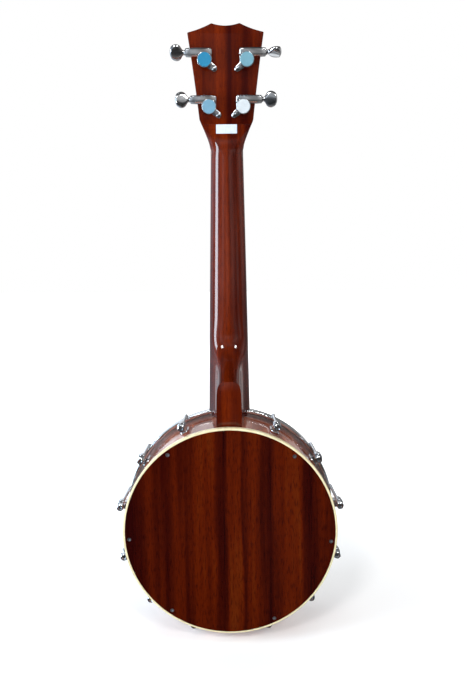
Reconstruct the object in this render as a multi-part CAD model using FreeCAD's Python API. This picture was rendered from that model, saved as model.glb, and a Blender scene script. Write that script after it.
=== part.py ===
import FreeCAD, Part
import math
import os

from FreeCAD import Vector

# A four-string banjo ukulele with a closed, flat back.
#
# Frame, in millimetres: the origin is the centre of the back plate's outer face, on the axis of
# the round pot. +Z runs up along the neck, +Y is the way the back faces, and the drumhead faces
# -Y. "Depth" is the distance in front of the back's outer face, so it is -Y. Left and right are
# as seen from the front, so left is -X.

# ---- the pot ----
RIM_RADIUS = 101.6          # outside of the wooden rim
RIM_WALL = 10.6
POT_DEPTH = 66.0            # outer face of the back to the front of the drumhead
BACK_THICKNESS = 5.0
BINDING_WIDTH = 2.0
BINDING_PROUD = 0.4         # how far the binding stands out past the rim
BINDING_ROUND = 0.7
BACK_SCREW_INSET = 5.4      # from the outside of the rim to the screws' axes
BACK_SCREW_ANGLES = (36.9, -39.2, -95.4, -154.3, 143.7, 93.2)
BACK_SCREW_HEAD = 1.9       # radius
BACK_SCREW_SHANK = 1.1      # radius
BACK_SCREW_LENGTH = 14.0
BACK_SCREW_SINK = 0.15      # how far the heads sit below the face of the back

# ---- the head, its hoop and the tension hooks ----
HEAD_FILM = 0.4
HEAD_SEAT_STEP = 2.0        # how far the rim is turned down where the head's collar goes
FLESH_HOOP_WIDTH = 3.4
FLESH_HOOP_HEIGHT = 5.0
HOOP_WALL = 3.0
HOOP_HEIGHT = 12.0
HOOP_PROUD = 3.3            # front edge of the hoop in front of the drumhead
HOOP_GAP = 0.6              # between the flesh hoop and the hoop's wall
HOOP_LIP = 2.4
HOOK_ANGLES = (25.0, 52.0, 79.0, 106.0, 133.0, 160.0)   # and the same on the other side
HOOK_RADIUS = 1.5
HOOK_THICKNESS = 2.2        # of the flattened claw
HOOK_WIDTH = 3.2
HOOK_NOTCH_PLAY = 0.2
HOOK_GAP = 0.05             # between a hook's shank and the hoop
NUT_FLATS = 6.3             # across flats
NUT_DEPTH = 12.6            # lower end of the hook nuts, as a depth
NUT_HEIGHT = 5.7
NUT_FLANGE = 1.2
NUT_FLANGE_RADIUS = 3.7
SHOE_DEPTH = 17.0
SHOE_HEIGHT = 17.0
SHOE_WIDTH = 9.0
SHOE_FOOT = 2.2             # thickness of the foot on the rim
SHOE_BOSS_RADIUS = 4.2
SHOE_BOSS_HEIGHT = 8.0
SHOE_BOLT_RADIUS = 2.0
SHOE_BOLT_HEAD = 4.0
SHOE_BOLT_HEAD_THICKNESS = 2.0

# ---- inside the pot ----
ROD_RADIUS = 3.2
ROD_DEPTH = 40.0            # depth of the coordinator rod's axis
HANGER_RADIUS = 2.5
HANGER_SPACING = 18.0       # between the two neck bolts
HANGER_REACH = 26.0         # how far the neck bolts go into the heel
PLAIN_NUT_FLATS = 8.0
PLAIN_NUT_HEIGHT = 4.0

# ---- neck ----
SCALE = 381.0               # vibrating length of the strings
FRET_COUNT = 19
BOARD_GAP = 0.6             # between the hoop and the end of the fretboard
BOARD_TAIL = 4.5            # fretboard beyond the last fret
BOARD_THICKNESS = 5.0
BOARD_END_WIDTH = 42.4
BOARD_END_ROUND = 3.0
NUT_WIDTH = 32.0
NUT_LENGTH = 4.0
NUT_HEIGHT_OVER_BOARD = 2.6
SLOT_OVER_BOARD = 1.4       # string slots above the face of the fretboard
FRET_WIDTH = 2.0
FRET_CROWN = 1.0
FRET_TANG = 2.0
FRET_TANG_WIDTH = 0.6
MARKER_RADIUS = 3.0
MARKER_DEPTH = 0.8
SHAFT_THIN = 14.0           # neck's thickness behind the fretboard, at the nut
SHAFT_THICK = 15.5          # and just above the heel
HEEL_CAP_DEPTH = 8.0        # depth of the heel's flat end
HEEL_WAIST = 11.8           # half-width of the lower heel
HEEL_TIP = 42.4             # from the rim to the top of the heel's flat end
HEEL_RISE = 42.0            # from there up to where the heel melts into the shaft
HEEL_CLEARANCE = 0.3        # between the heel and the hoop

# ---- headstock ----
HEAD_TILT = 8.0             # degrees
HEAD_WOOD = 12.5
OVERLAY = 1.0
SCARF_AT = 18.6             # along the headstock, where the neck's wood ends
SCOOP_AT = 8.0              # along the headstock, where the scoop behind the nut starts
SCOOP_RADIUS = 56.0
LABEL_WIDTH = 20.0
LABEL_HEIGHT = 8.2
LABEL_AT = 10.2
LABEL_THICKNESS = 0.15

# ---- tuners ----
POSTS = {"upper": (19.5, 73.0), "lower": (16.1, 33.0)}   # across and along the headstock
TEETH = 15
MODULE = 0.6
GEAR_WIDTH = 3.0
WORM_RADIUS = 2.1           # at the pitch line
WORM_TURNS = 3.0
WORM_BACKLASH = 0.28
POST_RADIUS = 3.0
POST_WAIST = 2.2
POST_LENGTH = 28.0          # in front of the back of the headstock
WINDING_AT = 21.0
RUNNING_FIT = 0.05          # radial play of the turning shafts
BOLT_FIT = 0.1              # radial play round bolts and hooks
HOUSING_RADIUS = 6.7
HOUSING_HEIGHT = 8.0
HOUSING_ARM = 17.6          # from the post's axis to the end of the worm's sleeve
WORM_SHAFT_RADIUS = 1.4
BUTTON_START = 18.9

# ---- strings, bridge and tailpiece ----
STRING_RADII = (0.30, 0.45, 0.40, 0.33)
NUT_SPACING = 8.2
BRIDGE_SPACING = 14.0
TAIL_SPACING = 6.0
BRIDGE_HEIGHT = 12.0
BRIDGE_WIDTH = 62.0
SADDLE_HEIGHT = 1.6
SHEET = 1.6                 # thickness of the tailpiece
TAIL_WIDTH = 26.0
TAIL_CLEARANCE = 0.6        # between the tailpiece's leg and the hoop
TAIL_LIFT = 1.1             # between the tailpiece and the front of the hoop
TAIL_REACH = 27.0           # length of the tailpiece's plate
TAIL_LIP = 4.0
STRING_BEND = 20.0          # radius of the strings' bends
STRING_FIT = 0.03           # radial play of the strings in their slots
KNOT_RADIUS = 1.2
KNOT_LENGTH = 2.2

# ---- what follows from them ----
RIM_INSIDE = RIM_RADIUS - RIM_WALL
COLLAR_RADIUS = RIM_RADIUS - HEAD_SEAT_STEP
HEAD_RADIUS = COLLAR_RADIUS + HEAD_FILM
FLESH_OUTSIDE = HEAD_RADIUS + FLESH_HOOP_WIDTH
HOOP_INSIDE = FLESH_OUTSIDE + HOOP_GAP
HOOP_OUTSIDE = HOOP_INSIDE + HOOP_WALL
HOOP_FRONT = POT_DEPTH + HOOP_PROUD
HOOP_BACK = HOOP_FRONT - HOOP_HEIGHT
FLESH_FRONT = POT_DEPTH - 3.2
FLESH_BACK = FLESH_FRONT - FLESH_HOOP_HEIGHT
HOOK_AXIS = HOOP_OUTSIDE + HOOK_GAP + HOOK_RADIUS
BOARD_END = HOOP_OUTSIDE + BOARD_GAP
BOARD_FRONT = POT_DEPTH + BOARD_THICKNESS
LAST_FRET = SCALE * (1 - 2 ** (-FRET_COUNT / 12))
NUT_Z = BOARD_END + BOARD_TAIL + LAST_FRET
BRIDGE_Z = NUT_Z - SCALE
HEAD_Z = NUT_Z + NUT_LENGTH                     # where the tilted face of the headstock starts
GEAR_RADIUS = TEETH * MODULE / 2
WORM_OFFSET = GEAR_RADIUS + WORM_RADIUS
WORM_LEAD = math.pi * MODULE
GEAR_MIDDLE = 4.2                               # height of the gear's middle in its housing
TILT = math.radians(HEAD_TILT)
POT_AXIS = Vector(0, 1, 0)
ORIGIN = Vector(0, 0, 0)
ALONG_HEAD = Vector(0, math.sin(TILT), math.cos(TILT))
OUT_OF_HEAD = Vector(0, math.cos(TILT), -math.sin(TILT))
ACROSS = Vector(1, 0, 0)


# ---- helpers ----

def at(x, depth, z):
    """A point from its place across, its depth in front of the back, and its height."""
    return Vector(x, -depth, z)


def polygon(points):
    return Part.Face(Part.makePolygon(list(points) + [points[0]]))


def outline(*edges):
    """A flat face from curves and segments that follow one another."""
    shapes = [edge if isinstance(edge, Part.Edge) else edge.toShape() for edge in edges]
    return Part.Face(Part.Wire(Part.__sortEdges__(shapes)))


def line(a, b):
    return Part.LineSegment(a, b)


def arc(a, middle, b):
    return Part.Arc(a, middle, b)


def ring(profile):
    """A turned piece, from (radius, depth) points, about the pot's axis."""
    face = polygon([at(radius, depth, 0) for radius, depth in profile])
    return face.revolve(ORIGIN, POT_AXIS, 360)


def rod(start, end, radius):
    return Part.makeCylinder(radius, (end - start).Length, start, end - start)


def tube(start, end, outer, inner):
    return rod(start, end, outer).cut(rod(start, end, inner))


def hexagon(start, end, flats):
    """A hexagonal prism of this width across flats, from start to end."""
    axis = (end - start).normalize()
    side = axis.cross(ACROSS)
    if side.Length < 0.1:
        side = axis.cross(Vector(0, 0, 1))
    side.normalize()
    corner = flats / math.sqrt(3)
    points = []
    for index in range(6):
        turn = FreeCAD.Rotation(axis, 60 * index)
        points.append(start + turn.multVec(side * corner))
    return polygon(points).extrude(end - start)


def around(shape, angle):
    """A copy of a piece made at the top of the pot, turned about the pot's axis."""
    copy = shape.copy()
    copy.rotate(ORIGIN, POT_AXIS, angle)
    return copy


def mirrored(shape):
    return shape.mirror(ORIGIN, ACROSS)


def group(shapes):
    return Part.makeCompound([shape for shape in shapes])


def union(shapes):
    first, *rest = shapes
    return first.multiFuse(rest).removeSplitter() if rest else first


def hook_places():
    return [side * angle for angle in HOOK_ANGLES for side in (1, -1)]


# ---- the pot ----

def make_rim():
    back = BACK_THICKNESS
    step = POT_DEPTH - 14.5
    front = POT_DEPTH - HEAD_FILM
    rim = ring([(RIM_INSIDE, back), (RIM_RADIUS, back), (RIM_RADIUS, step),
                (COLLAR_RADIUS, step + 1.5), (COLLAR_RADIUS, front - 1), (COLLAR_RADIUS - 1, front),
                (COLLAR_RADIUS - 3.1, front), (RIM_INSIDE, front - 3.1)])
    bolt_top = at(0, shoe_bolt_depth(), RIM_RADIUS + 1)
    bolt_hole = rod(at(0, shoe_bolt_depth(), RIM_INSIDE - 5), bolt_top, SHOE_BOLT_RADIUS + BOLT_FIT)
    cuts = [around(bolt_hole, angle) for angle in hook_places()]
    for depth in hanger_depths():
        cuts.append(rod(at(0, depth, RIM_INSIDE - 5), at(0, depth, RIM_RADIUS + 1),
                        HANGER_RADIUS + BOLT_FIT))
    cuts.append(rod(at(0, ROD_DEPTH, 5 - RIM_INSIDE), at(0, ROD_DEPTH, -RIM_RADIUS - 1),
                    HANGER_RADIUS + BOLT_FIT))
    cuts += back_screw_holes()
    return rim.cut(cuts)


def shoe_bolt_depth():
    return SHOE_DEPTH + SHOE_HEIGHT - 4


def hanger_depths():
    return (ROD_DEPTH, ROD_DEPTH - HANGER_SPACING)


def back_screw_radius():
    return RIM_RADIUS - BACK_SCREW_INSET


def back_screw(sink, spare):
    """A countersunk screw at the top of the back, its head facing out, or the hole for one."""
    z = back_screw_radius()
    head = BACK_SCREW_HEAD + spare
    shank = BACK_SCREW_SHANK + spare
    top = 0 if spare else sink
    cone = head - shank
    profile = [at(0, top, z), at(head, top, z), at(head, sink + 0.2, z),
               at(shank, sink + 0.2 + cone, z), at(shank, BACK_SCREW_LENGTH - 2, z),
               at(0, BACK_SCREW_LENGTH, z)]
    return polygon(profile).revolve(at(0, 0, z), POT_AXIS, 360)


def back_screw_holes():
    hole = back_screw(BACK_SCREW_SINK, 0.02)
    return [around(hole, angle) for angle in BACK_SCREW_ANGLES]


def make_back_screws():
    screw = back_screw(BACK_SCREW_SINK, 0)
    middle = at(0, BACK_SCREW_SINK, back_screw_radius())
    slot = Part.makeBox(2.4, 1.0, 0.5, middle - Vector(1.2, 0.8, 0.25))
    cross = slot.copy()
    cross.rotate(middle, POT_AXIS, 90)
    screw = screw.cut([slot, cross])
    turned = []
    for index, angle in enumerate(BACK_SCREW_ANGLES):
        one = screw.copy()
        one.rotate(middle, POT_AXIS, 35 * index)
        turned.append(around(one, angle))
    return group(turned)


def make_back_plate():
    plate = rod(at(0, 0, 0), at(0, BACK_THICKNESS, 0), RIM_RADIUS + BINDING_PROUD - BINDING_WIDTH)
    return plate.cut(back_screw_holes())


def make_back_binding():
    outer = RIM_RADIUS + BINDING_PROUD
    inner = outer - BINDING_WIDTH
    bend = BINDING_ROUND * (1 - math.sqrt(0.5))
    face = outline(line(at(inner, 0, 0), at(outer - BINDING_ROUND, 0, 0)),
                   arc(at(outer - BINDING_ROUND, 0, 0), at(outer - bend, bend, 0),
                       at(outer, BINDING_ROUND, 0)),
                   line(at(outer, BINDING_ROUND, 0), at(outer, BACK_THICKNESS, 0)),
                   line(at(outer, BACK_THICKNESS, 0), at(inner, BACK_THICKNESS, 0)),
                   line(at(inner, BACK_THICKNESS, 0), at(inner, 0, 0)))
    return face.revolve(ORIGIN, POT_AXIS, 360)


def make_drumhead():
    back = POT_DEPTH - HEAD_FILM
    skirt = FLESH_BACK
    return ring([(0, back), (COLLAR_RADIUS - 1, back), (COLLAR_RADIUS, back - 1),
                 (COLLAR_RADIUS, skirt), (HEAD_RADIUS, skirt), (HEAD_RADIUS, POT_DEPTH - 1.2),
                 (HEAD_RADIUS - 1.2, POT_DEPTH), (0, POT_DEPTH)])


def make_flesh_hoop():
    return ring([(HEAD_RADIUS, FLESH_BACK), (FLESH_OUTSIDE, FLESH_BACK),
                 (FLESH_OUTSIDE, FLESH_FRONT), (HEAD_RADIUS, FLESH_FRONT)])


def make_tension_hoop():
    lip_inside = HEAD_RADIUS + 0.8
    rounding = 0.6
    hoop = ring([(HOOP_INSIDE, HOOP_BACK), (HOOP_OUTSIDE, HOOP_BACK),
                 (HOOP_OUTSIDE, HOOP_FRONT - rounding), (HOOP_OUTSIDE - rounding, HOOP_FRONT),
                 (HOOP_INSIDE + rounding, HOOP_FRONT), (HOOP_INSIDE, HOOP_FRONT - rounding),
                 (HOOP_INSIDE, FLESH_FRONT + HOOP_LIP), (lip_inside, FLESH_FRONT + HOOP_LIP),
                 (lip_inside, FLESH_FRONT), (HOOP_INSIDE, FLESH_FRONT)])
    half = HOOK_WIDTH / 2 + HOOK_NOTCH_PLAY
    notch = Part.makeBox(2 * half, HOOK_THICKNESS + 1, 3 * HOOP_WALL,
                         at(-half, HOOP_FRONT + 1, HOOP_INSIDE - HOOP_WALL))
    return hoop.cut([around(notch, angle) for angle in hook_places()])


def make_tension_hooks():
    """Hooks whose flattened claws lie in the hoop's notches."""
    seat = HOOP_FRONT - HOOK_THICKNESS
    outer = HOOK_AXIS + HOOK_RADIUS
    inner = HOOP_INSIDE - 0.8
    bend = HOOK_THICKNESS * 0.85
    tip = 1.0
    diagonal = 1 - math.sqrt(0.5)
    half = HOOK_WIDTH / 2

    def edge_at(radius, depth):
        return at(-half, depth, radius)

    claw = outline(
        line(edge_at(inner, seat), edge_at(outer, seat)),
        line(edge_at(outer, seat), edge_at(outer, HOOP_FRONT - bend)),
        arc(edge_at(outer, HOOP_FRONT - bend),
            edge_at(outer - bend * diagonal, HOOP_FRONT - bend * diagonal),
            edge_at(outer - bend, HOOP_FRONT)),
        line(edge_at(outer - bend, HOOP_FRONT), edge_at(inner + tip, HOOP_FRONT)),
        arc(edge_at(inner + tip, HOOP_FRONT),
            edge_at(inner + tip * diagonal, HOOP_FRONT - tip * diagonal),
            edge_at(inner, HOOP_FRONT - tip)),
        line(edge_at(inner, HOOP_FRONT - tip), edge_at(inner, seat)))
    shank = rod(at(0, NUT_DEPTH + 0.8, HOOK_AXIS), at(0, seat + 0.5, HOOK_AXIS), HOOK_RADIUS)
    hook = union([claw.extrude(Vector(HOOK_WIDTH, 0, 0)), shank])
    return group([around(hook, angle) for angle in hook_places()])


def make_hook_nuts():
    start = at(0, NUT_DEPTH, HOOK_AXIS)
    shoulder = at(0, NUT_DEPTH + NUT_HEIGHT, HOOK_AXIS)
    end = at(0, NUT_DEPTH + NUT_HEIGHT + NUT_FLANGE, HOOK_AXIS)
    body = hexagon(start, shoulder, NUT_FLATS)
    corner = NUT_FLATS / math.sqrt(3)
    chamfer = Part.makeCone(corner - 0.6, corner + 2, 2.6, start, shoulder - start)
    body = body.common(chamfer.fuse(rod(at(0, NUT_DEPTH + 2.6, HOOK_AXIS), shoulder, corner + 2)))
    nut = union([body, rod(shoulder, end, NUT_FLANGE_RADIUS)])
    nut = nut.cut(rod(start, end, HOOK_RADIUS))
    return group([around(nut, angle) for angle in hook_places()])


def shoe_boss_depth():
    return NUT_DEPTH + NUT_HEIGHT + NUT_FLANGE


def make_bracket_shoes():
    """Each shoe is a curved foot on the rim with a boss that the hook passes through."""
    half = SHOE_WIDTH / 2
    foot_top = RIM_RADIUS + SHOE_FOOT
    foot = Part.makeBox(SHOE_WIDTH, SHOE_HEIGHT, SHOE_FOOT + 4,
                        at(-half, SHOE_DEPTH + SHOE_HEIGHT, RIM_RADIUS - 4))
    corners = [edge for edge in foot.Edges
               if abs(edge.Vertexes[0].Z - edge.Vertexes[1].Z) > SHOE_FOOT]
    foot = foot.makeFillet(half * 0.6, corners)
    start = at(0, shoe_boss_depth(), HOOK_AXIS)
    end = at(0, shoe_boss_depth() + SHOE_BOSS_HEIGHT, HOOK_AXIS)
    boss = rod(start, end, SHOE_BOSS_RADIUS)
    web_half = SHOE_BOSS_RADIUS * 0.9
    web = Part.makeBox(2 * web_half, SHOE_BOSS_HEIGHT, HOOK_AXIS - RIM_RADIUS,
                       at(-web_half, shoe_boss_depth() + SHOE_BOSS_HEIGHT, RIM_RADIUS - 1))
    arch = polygon([at(-half, SHOE_DEPTH + SHOE_HEIGHT - 2, foot_top - 1),
                    at(-half, shoe_boss_depth() + SHOE_BOSS_HEIGHT, foot_top + 2.5),
                    at(-half, shoe_boss_depth() + SHOE_BOSS_HEIGHT - 1, foot_top - 1)])
    arch = arch.extrude(Vector(SHOE_WIDTH, 0, 0))
    keep = rod(at(0, SHOE_DEPTH, RIM_RADIUS + 2), at(0, SHOE_DEPTH + SHOE_HEIGHT, RIM_RADIUS + 2),
               SHOE_WIDTH * 0.47)
    shoe = union([foot, boss, web, arch.common(keep)])
    hook_hole = rod(at(0, 0, HOOK_AXIS), at(0, POT_DEPTH, HOOK_AXIS), HOOK_RADIUS + BOLT_FIT)
    bolt_hole = rod(at(0, shoe_bolt_depth(), RIM_INSIDE),
                    at(0, shoe_bolt_depth(), shoe_bolt_end()), SHOE_BOLT_RADIUS)
    rim_space = rod(at(0, 0, 0), at(0, POT_DEPTH, 0), RIM_RADIUS)
    shoe = shoe.cut([hook_hole, bolt_hole, rim_space])
    return group([around(shoe, angle) for angle in hook_places()])


def shoe_bolt_end():
    return RIM_RADIUS + SHOE_FOOT - 0.7


def make_shoe_bolts():
    depth = shoe_bolt_depth()
    seat = math.sqrt(RIM_INSIDE ** 2 - SHOE_BOLT_HEAD ** 2)
    head = rod(at(0, depth, seat - SHOE_BOLT_HEAD_THICKNESS), at(0, depth, seat), SHOE_BOLT_HEAD)
    shank = rod(at(0, depth, seat - 0.5), at(0, depth, shoe_bolt_end()), SHOE_BOLT_RADIUS)
    bolt = union([head, shank])
    return group([around(bolt, angle) for angle in hook_places()])


def make_coordinator_rod():
    low = -(RIM_INSIDE - 0.5)
    high = RIM_INSIDE - 9
    bar = rod(at(0, ROD_DEPTH, low), at(0, ROD_DEPTH, high), ROD_RADIUS)
    socket = rod(at(0, ROD_DEPTH, low), at(0, ROD_DEPTH, low + 8), HANGER_RADIUS)
    return bar.cut(socket)


def hanger_bolts(spare):
    bolts = []
    for depth in hanger_depths():
        start = at(0, depth, RIM_INSIDE - 9)
        bolts.append(rod(start, at(0, depth, RIM_RADIUS + HANGER_REACH), HANGER_RADIUS + spare))
    return bolts


def make_hanger_nuts():
    nuts = []
    for depth in hanger_depths():
        end = at(0, depth, RIM_INSIDE - 0.2)
        start = at(0, depth, RIM_INSIDE - 0.2 - PLAIN_NUT_HEIGHT)
        nut = hexagon(start, end, PLAIN_NUT_FLATS).cut(rod(start, end, HANGER_RADIUS))
        nuts.append(nut)
    return group(nuts)


# ---- neck and headstock ----

def board_half_width(z):
    """Half the width of the fretboard, which tapers evenly from the pot to the nut."""
    share = (z - BOARD_END) / (NUT_Z - BOARD_END)
    return (BOARD_END_WIDTH * (1 - share) + NUT_WIDTH * share) / 2


def smooth_step(value, start, end):
    share = min(1, max(0, (value - start) / (end - start)))
    return share * share * (3 - 2 * share)


def neck_thickness(z):
    """Thickness behind the fretboard: a slim shaft that sweeps down into the heel."""
    share = min(1, max(0, (z - BOARD_END) / (NUT_Z - BOARD_END)))
    shaft = SHAFT_THICK * (1 - share) + SHAFT_THIN * share
    tip = RIM_RADIUS + HEEL_TIP
    reach = max(0, (tip + HEEL_RISE - z) / HEEL_RISE)
    full = shaft + (POT_DEPTH - HEEL_CAP_DEPTH - SHAFT_THICK) * reach ** 2.6
    limit = 1.6 * POT_DEPTH
    return (full ** -8 + limit ** -8) ** (-1 / 8)


def neck_section(z, half, thick, squareness, waist_share):
    """A D-shaped cross-section, flat under the fretboard; the heel's is pinched and squarer."""
    waist = HEEL_WAIST / board_half_width(RIM_RADIUS + HEEL_TIP)
    side = []
    steps = 16
    for index in range(steps + 1):
        turn = math.pi / 2 * (index / steps) ** 1.5
        reach = (math.cos(turn) ** squareness + math.sin(turn) ** squareness) ** (-1 / squareness)
        down = thick * reach * math.sin(turn)
        pinch = 1 - waist_share * (1 - waist) * (1 - math.exp(-((down / 15) ** 2)))
        side.append((half * pinch * reach * math.cos(turn), down))
    points = [at(x, POT_DEPTH - down, z) for x, down in side[:-1]]
    points.append(at(0, POT_DEPTH - side[-1][1], z))
    points += [at(-x, POT_DEPTH - down, z) for x, down in reversed(side[:-1])]
    curve = Part.BSplineCurve()
    curve.interpolate(points)
    return Part.Wire([curve.toShape(), line(points[-1], points[0]).toShape()])


def head_point(x, along, out):
    """A point of the headstock: out is measured backwards from the wood's tilted front."""
    return Vector(x, -POT_DEPTH, HEAD_Z) + ALONG_HEAD * along + OUT_OF_HEAD * out


def head_outline(out):
    """The headstock's outline: flared ears, tapering sides and a crown with two peaks."""
    right = [(NUT_WIDTH / 2 + 0.2, -6), (17.0, 1.2), (19.6, 8.5), (25.8, 22.9)]
    ear = Part.BSplineCurve()
    ear.interpolate([head_point(x, along, out) for x, along in right])
    other_ear = Part.BSplineCurve()
    other_ear.interpolate([head_point(-x, along, out) for x, along in right])

    def p(x, along):
        return head_point(x, along, out)

    return outline(
        line(p(-right[0][0], -6), p(right[0][0], -6)), ear,
        arc(p(25.8, 22.9), p(30.15, 60.2), p(35.3, 97.6)),
        arc(p(35.3, 97.6), p(24.3, 100.4), p(12.95, 105.0)),
        arc(p(12.95, 105.0), p(0, 103.0), p(-12.95, 105.0)),
        arc(p(-12.95, 105.0), p(-24.3, 100.4), p(-35.3, 97.6)),
        arc(p(-35.3, 97.6), p(-30.15, 60.2), p(-25.8, 22.9)), other_ear)


def head_blank():
    return head_outline(0).extrude(OUT_OF_HEAD * HEAD_WOOD)


def tilted_block(low, high, front, back):
    """A wide block in the headstock's own directions."""
    corners = [head_point(-60, low, front), head_point(60, low, front),
               head_point(60, high, front), head_point(-60, high, front)]
    return polygon(corners).extrude(OUT_OF_HEAD * (back - front))


def behind_headstock():
    """The space behind the headstock's flat back and behind the round scoop below it."""
    centre = head_point(-60, SCOOP_AT, HEAD_WOOD + SCOOP_RADIUS)

    def on_scoop(angle):
        turn = math.radians(angle)
        return (centre - OUT_OF_HEAD * SCOOP_RADIUS * math.cos(turn)
                - ALONG_HEAD * SCOOP_RADIUS * math.sin(turn))

    face = outline(
        line(head_point(-60, 60, HEAD_WOOD), on_scoop(0)),
        arc(on_scoop(0), on_scoop(15), on_scoop(30)),
        line(on_scoop(30), on_scoop(30) + OUT_OF_HEAD * 90),
        line(on_scoop(30) + OUT_OF_HEAD * 90, head_point(-60, 60, HEAD_WOOD + 100)),
        line(head_point(-60, 60, HEAD_WOOD + 100), head_point(-60, 60, HEAD_WOOD)))
    return face.extrude(Vector(120, 0, 0))


def make_neck():
    sections = []
    tip = RIM_RADIUS + HEEL_TIP
    low = RIM_RADIUS - 6
    heights = [low, low + 14, tip - 24, tip - 14, tip - 7, tip, tip + 7, tip + 15, tip + 25,
               tip + HEEL_RISE]
    middle = tip + HEEL_RISE
    span = NUT_Z - 9 - middle
    heights += [middle + span * share for share in (0.15, 0.4, 0.7, 1.0)]
    for z in heights:
        squareness = 4 - 2 * smooth_step(z, tip - 10, tip + HEEL_RISE + 20)
        waist_share = 1 - smooth_step(z, tip + 4, tip + HEEL_RISE + 6)
        sections.append(neck_section(z, board_half_width(z), neck_thickness(z), squareness,
                                     waist_share))
    flare = ((NUT_Z, 16.0, 15), (NUT_Z + 8, 19.5, 18), (NUT_Z + 16, 25.0, 26),
             (NUT_Z + 24, 30.0, 45), (NUT_Z + 32, 35.0, 80))
    for z, half, thick in flare:
        sections.append(neck_section(z, half, thick, 2.0, 0))
    blank = Part.makeLoft(sections, True, False)
    heel_end = Part.makeBox(120, 200, 120, at(-60, HEEL_CAP_DEPTH, RIM_RADIUS - 20))
    pot_space = rod(at(0, -60, 0), at(0, POT_DEPTH + 1, 0), RIM_RADIUS)
    hoop_space = rod(at(0, HOOP_BACK - 1, 0), at(0, POT_DEPTH + 1, 0),
                     HOOP_OUTSIDE + HEEL_CLEARANCE)
    in_front = tilted_block(0, 80, -60, 0)
    beyond_scarf = tilted_block(SCARF_AT, 120, -60, 140)
    neck = blank.cut([heel_end, pot_space, hoop_space, in_front, beyond_scarf])
    neck = neck.cut(behind_headstock())
    side_room = tilted_block(0, SCARF_AT, -1, HEAD_WOOD + 1).cut(
        head_outline(-2).extrude(OUT_OF_HEAD * (HEAD_WOOD + 4)))
    neck = neck.cut(side_room)
    return neck.cut(hanger_bolts(0)).removeSplitter()


def make_headstock():
    wood = head_blank().cut(tilted_block(-20, SCARF_AT, -5, HEAD_WOOD + 5))
    return wood.cut(tuner_holes())


def make_headstock_overlay():
    overlay = head_outline(-OVERLAY).extrude(OUT_OF_HEAD * OVERLAY)
    below_nut = Part.makeBox(120, 60, 60, Vector(-60, -POT_DEPTH - 30, HEAD_Z - 60))
    return overlay.cut([below_nut] + tuner_holes())


def make_label():
    half = LABEL_WIDTH / 2
    corners = [head_point(-half, LABEL_AT, HEAD_WOOD), head_point(half, LABEL_AT, HEAD_WOOD),
               head_point(half, LABEL_AT + LABEL_HEIGHT, HEAD_WOOD),
               head_point(-half, LABEL_AT + LABEL_HEIGHT, HEAD_WOOD)]
    return polygon(corners).extrude(OUT_OF_HEAD * LABEL_THICKNESS)


def fret_z(number):
    return NUT_Z - SCALE * (1 - 2 ** (-number / 12))


def make_frets():
    frets = []
    for number in range(1, FRET_COUNT + 1):
        z = fret_z(number)
        half = board_half_width(z) - 0.1
        tang = FRET_TANG_WIDTH / 2

        def p(depth, height):
            return at(-half, depth, height)

        crown = outline(arc(p(BOARD_FRONT, z - FRET_WIDTH / 2), p(BOARD_FRONT + FRET_CROWN, z),
                            p(BOARD_FRONT, z + FRET_WIDTH / 2)),
                        line(p(BOARD_FRONT, z + FRET_WIDTH / 2), p(BOARD_FRONT, z - FRET_WIDTH / 2)))
        foot = Part.makeBox(2 * half, FRET_TANG, 2 * tang, at(-half, BOARD_FRONT, z - tang))
        frets.append(union([crown.extrude(Vector(2 * half, 0, 0)), foot]))
    return frets


def marker_places():
    """Dots between the frets: one at each of these, and two at the octave."""
    places = []
    for number, offsets in ((5, (0,)), (7, (0,)), (10, (0,)), (12, (-7, 7)), (15, (0,))):
        z = (fret_z(number) + fret_z(number - 1)) / 2
        places += [(x, z) for x in offsets]
    return places


def make_fret_markers():
    return [rod(at(x, BOARD_FRONT - MARKER_DEPTH, z), at(x, BOARD_FRONT, z), MARKER_RADIUS)
            for x, z in marker_places()]


def make_fretboard(frets, markers):
    wide = BOARD_END_WIDTH / 2
    narrow = NUT_WIDTH / 2
    board = polygon([at(-wide, POT_DEPTH, BOARD_END), at(wide, POT_DEPTH, BOARD_END),
                     at(narrow, POT_DEPTH, NUT_Z), at(-narrow, POT_DEPTH, NUT_Z)])
    board = board.extrude(Vector(0, -BOARD_THICKNESS, 0))
    corners = [edge for edge in board.Edges
               if abs(edge.CenterOfMass.z - BOARD_END) < 0.01 and abs(edge.CenterOfMass.x) > 1]
    board = board.makeFillet(BOARD_END_ROUND, corners)
    return board.cut(frets + markers)


def string_offsets(spacing):
    return [spacing * (index - 1.5) for index in range(4)]


def slot_depth():
    return BOARD_FRONT + SLOT_OVER_BOARD


def bridge_top_depth():
    return POT_DEPTH + BRIDGE_HEIGHT


def string_slots(spacing, depth, z_low, z_high):
    """Room for the strings over the nut, open to the front."""
    slots = []
    for x, radius in zip(string_offsets(spacing), STRING_RADII):
        half = radius + 0.2
        slots.append(Part.makeBox(2 * half, 10, z_high - z_low, at(x - half, depth + 10, z_low)))
    return slots


def make_nut():
    half = NUT_WIDTH / 2
    top = BOARD_FRONT + NUT_HEIGHT_OVER_BOARD
    nut = Part.makeBox(NUT_WIDTH, top - POT_DEPTH, NUT_LENGTH, at(-half, top, NUT_Z))
    edges = [edge for edge in nut.Edges
             if abs(edge.CenterOfMass.y + top) < 0.01 and edge.CenterOfMass.z > NUT_Z + 0.1]
    nut = nut.makeFillet(0.8, edges)
    slots = string_slots(NUT_SPACING, slot_depth() + 0.3, NUT_Z - 1, HEAD_Z + 1)
    return with_grooves(nut.cut(slots))


# ---- tuners ----
# Each is made for the left upper post in its own directions: x outwards to the button, y up the
# headstock, z out of the headstock's back, from the post's axis on that back.

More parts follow.
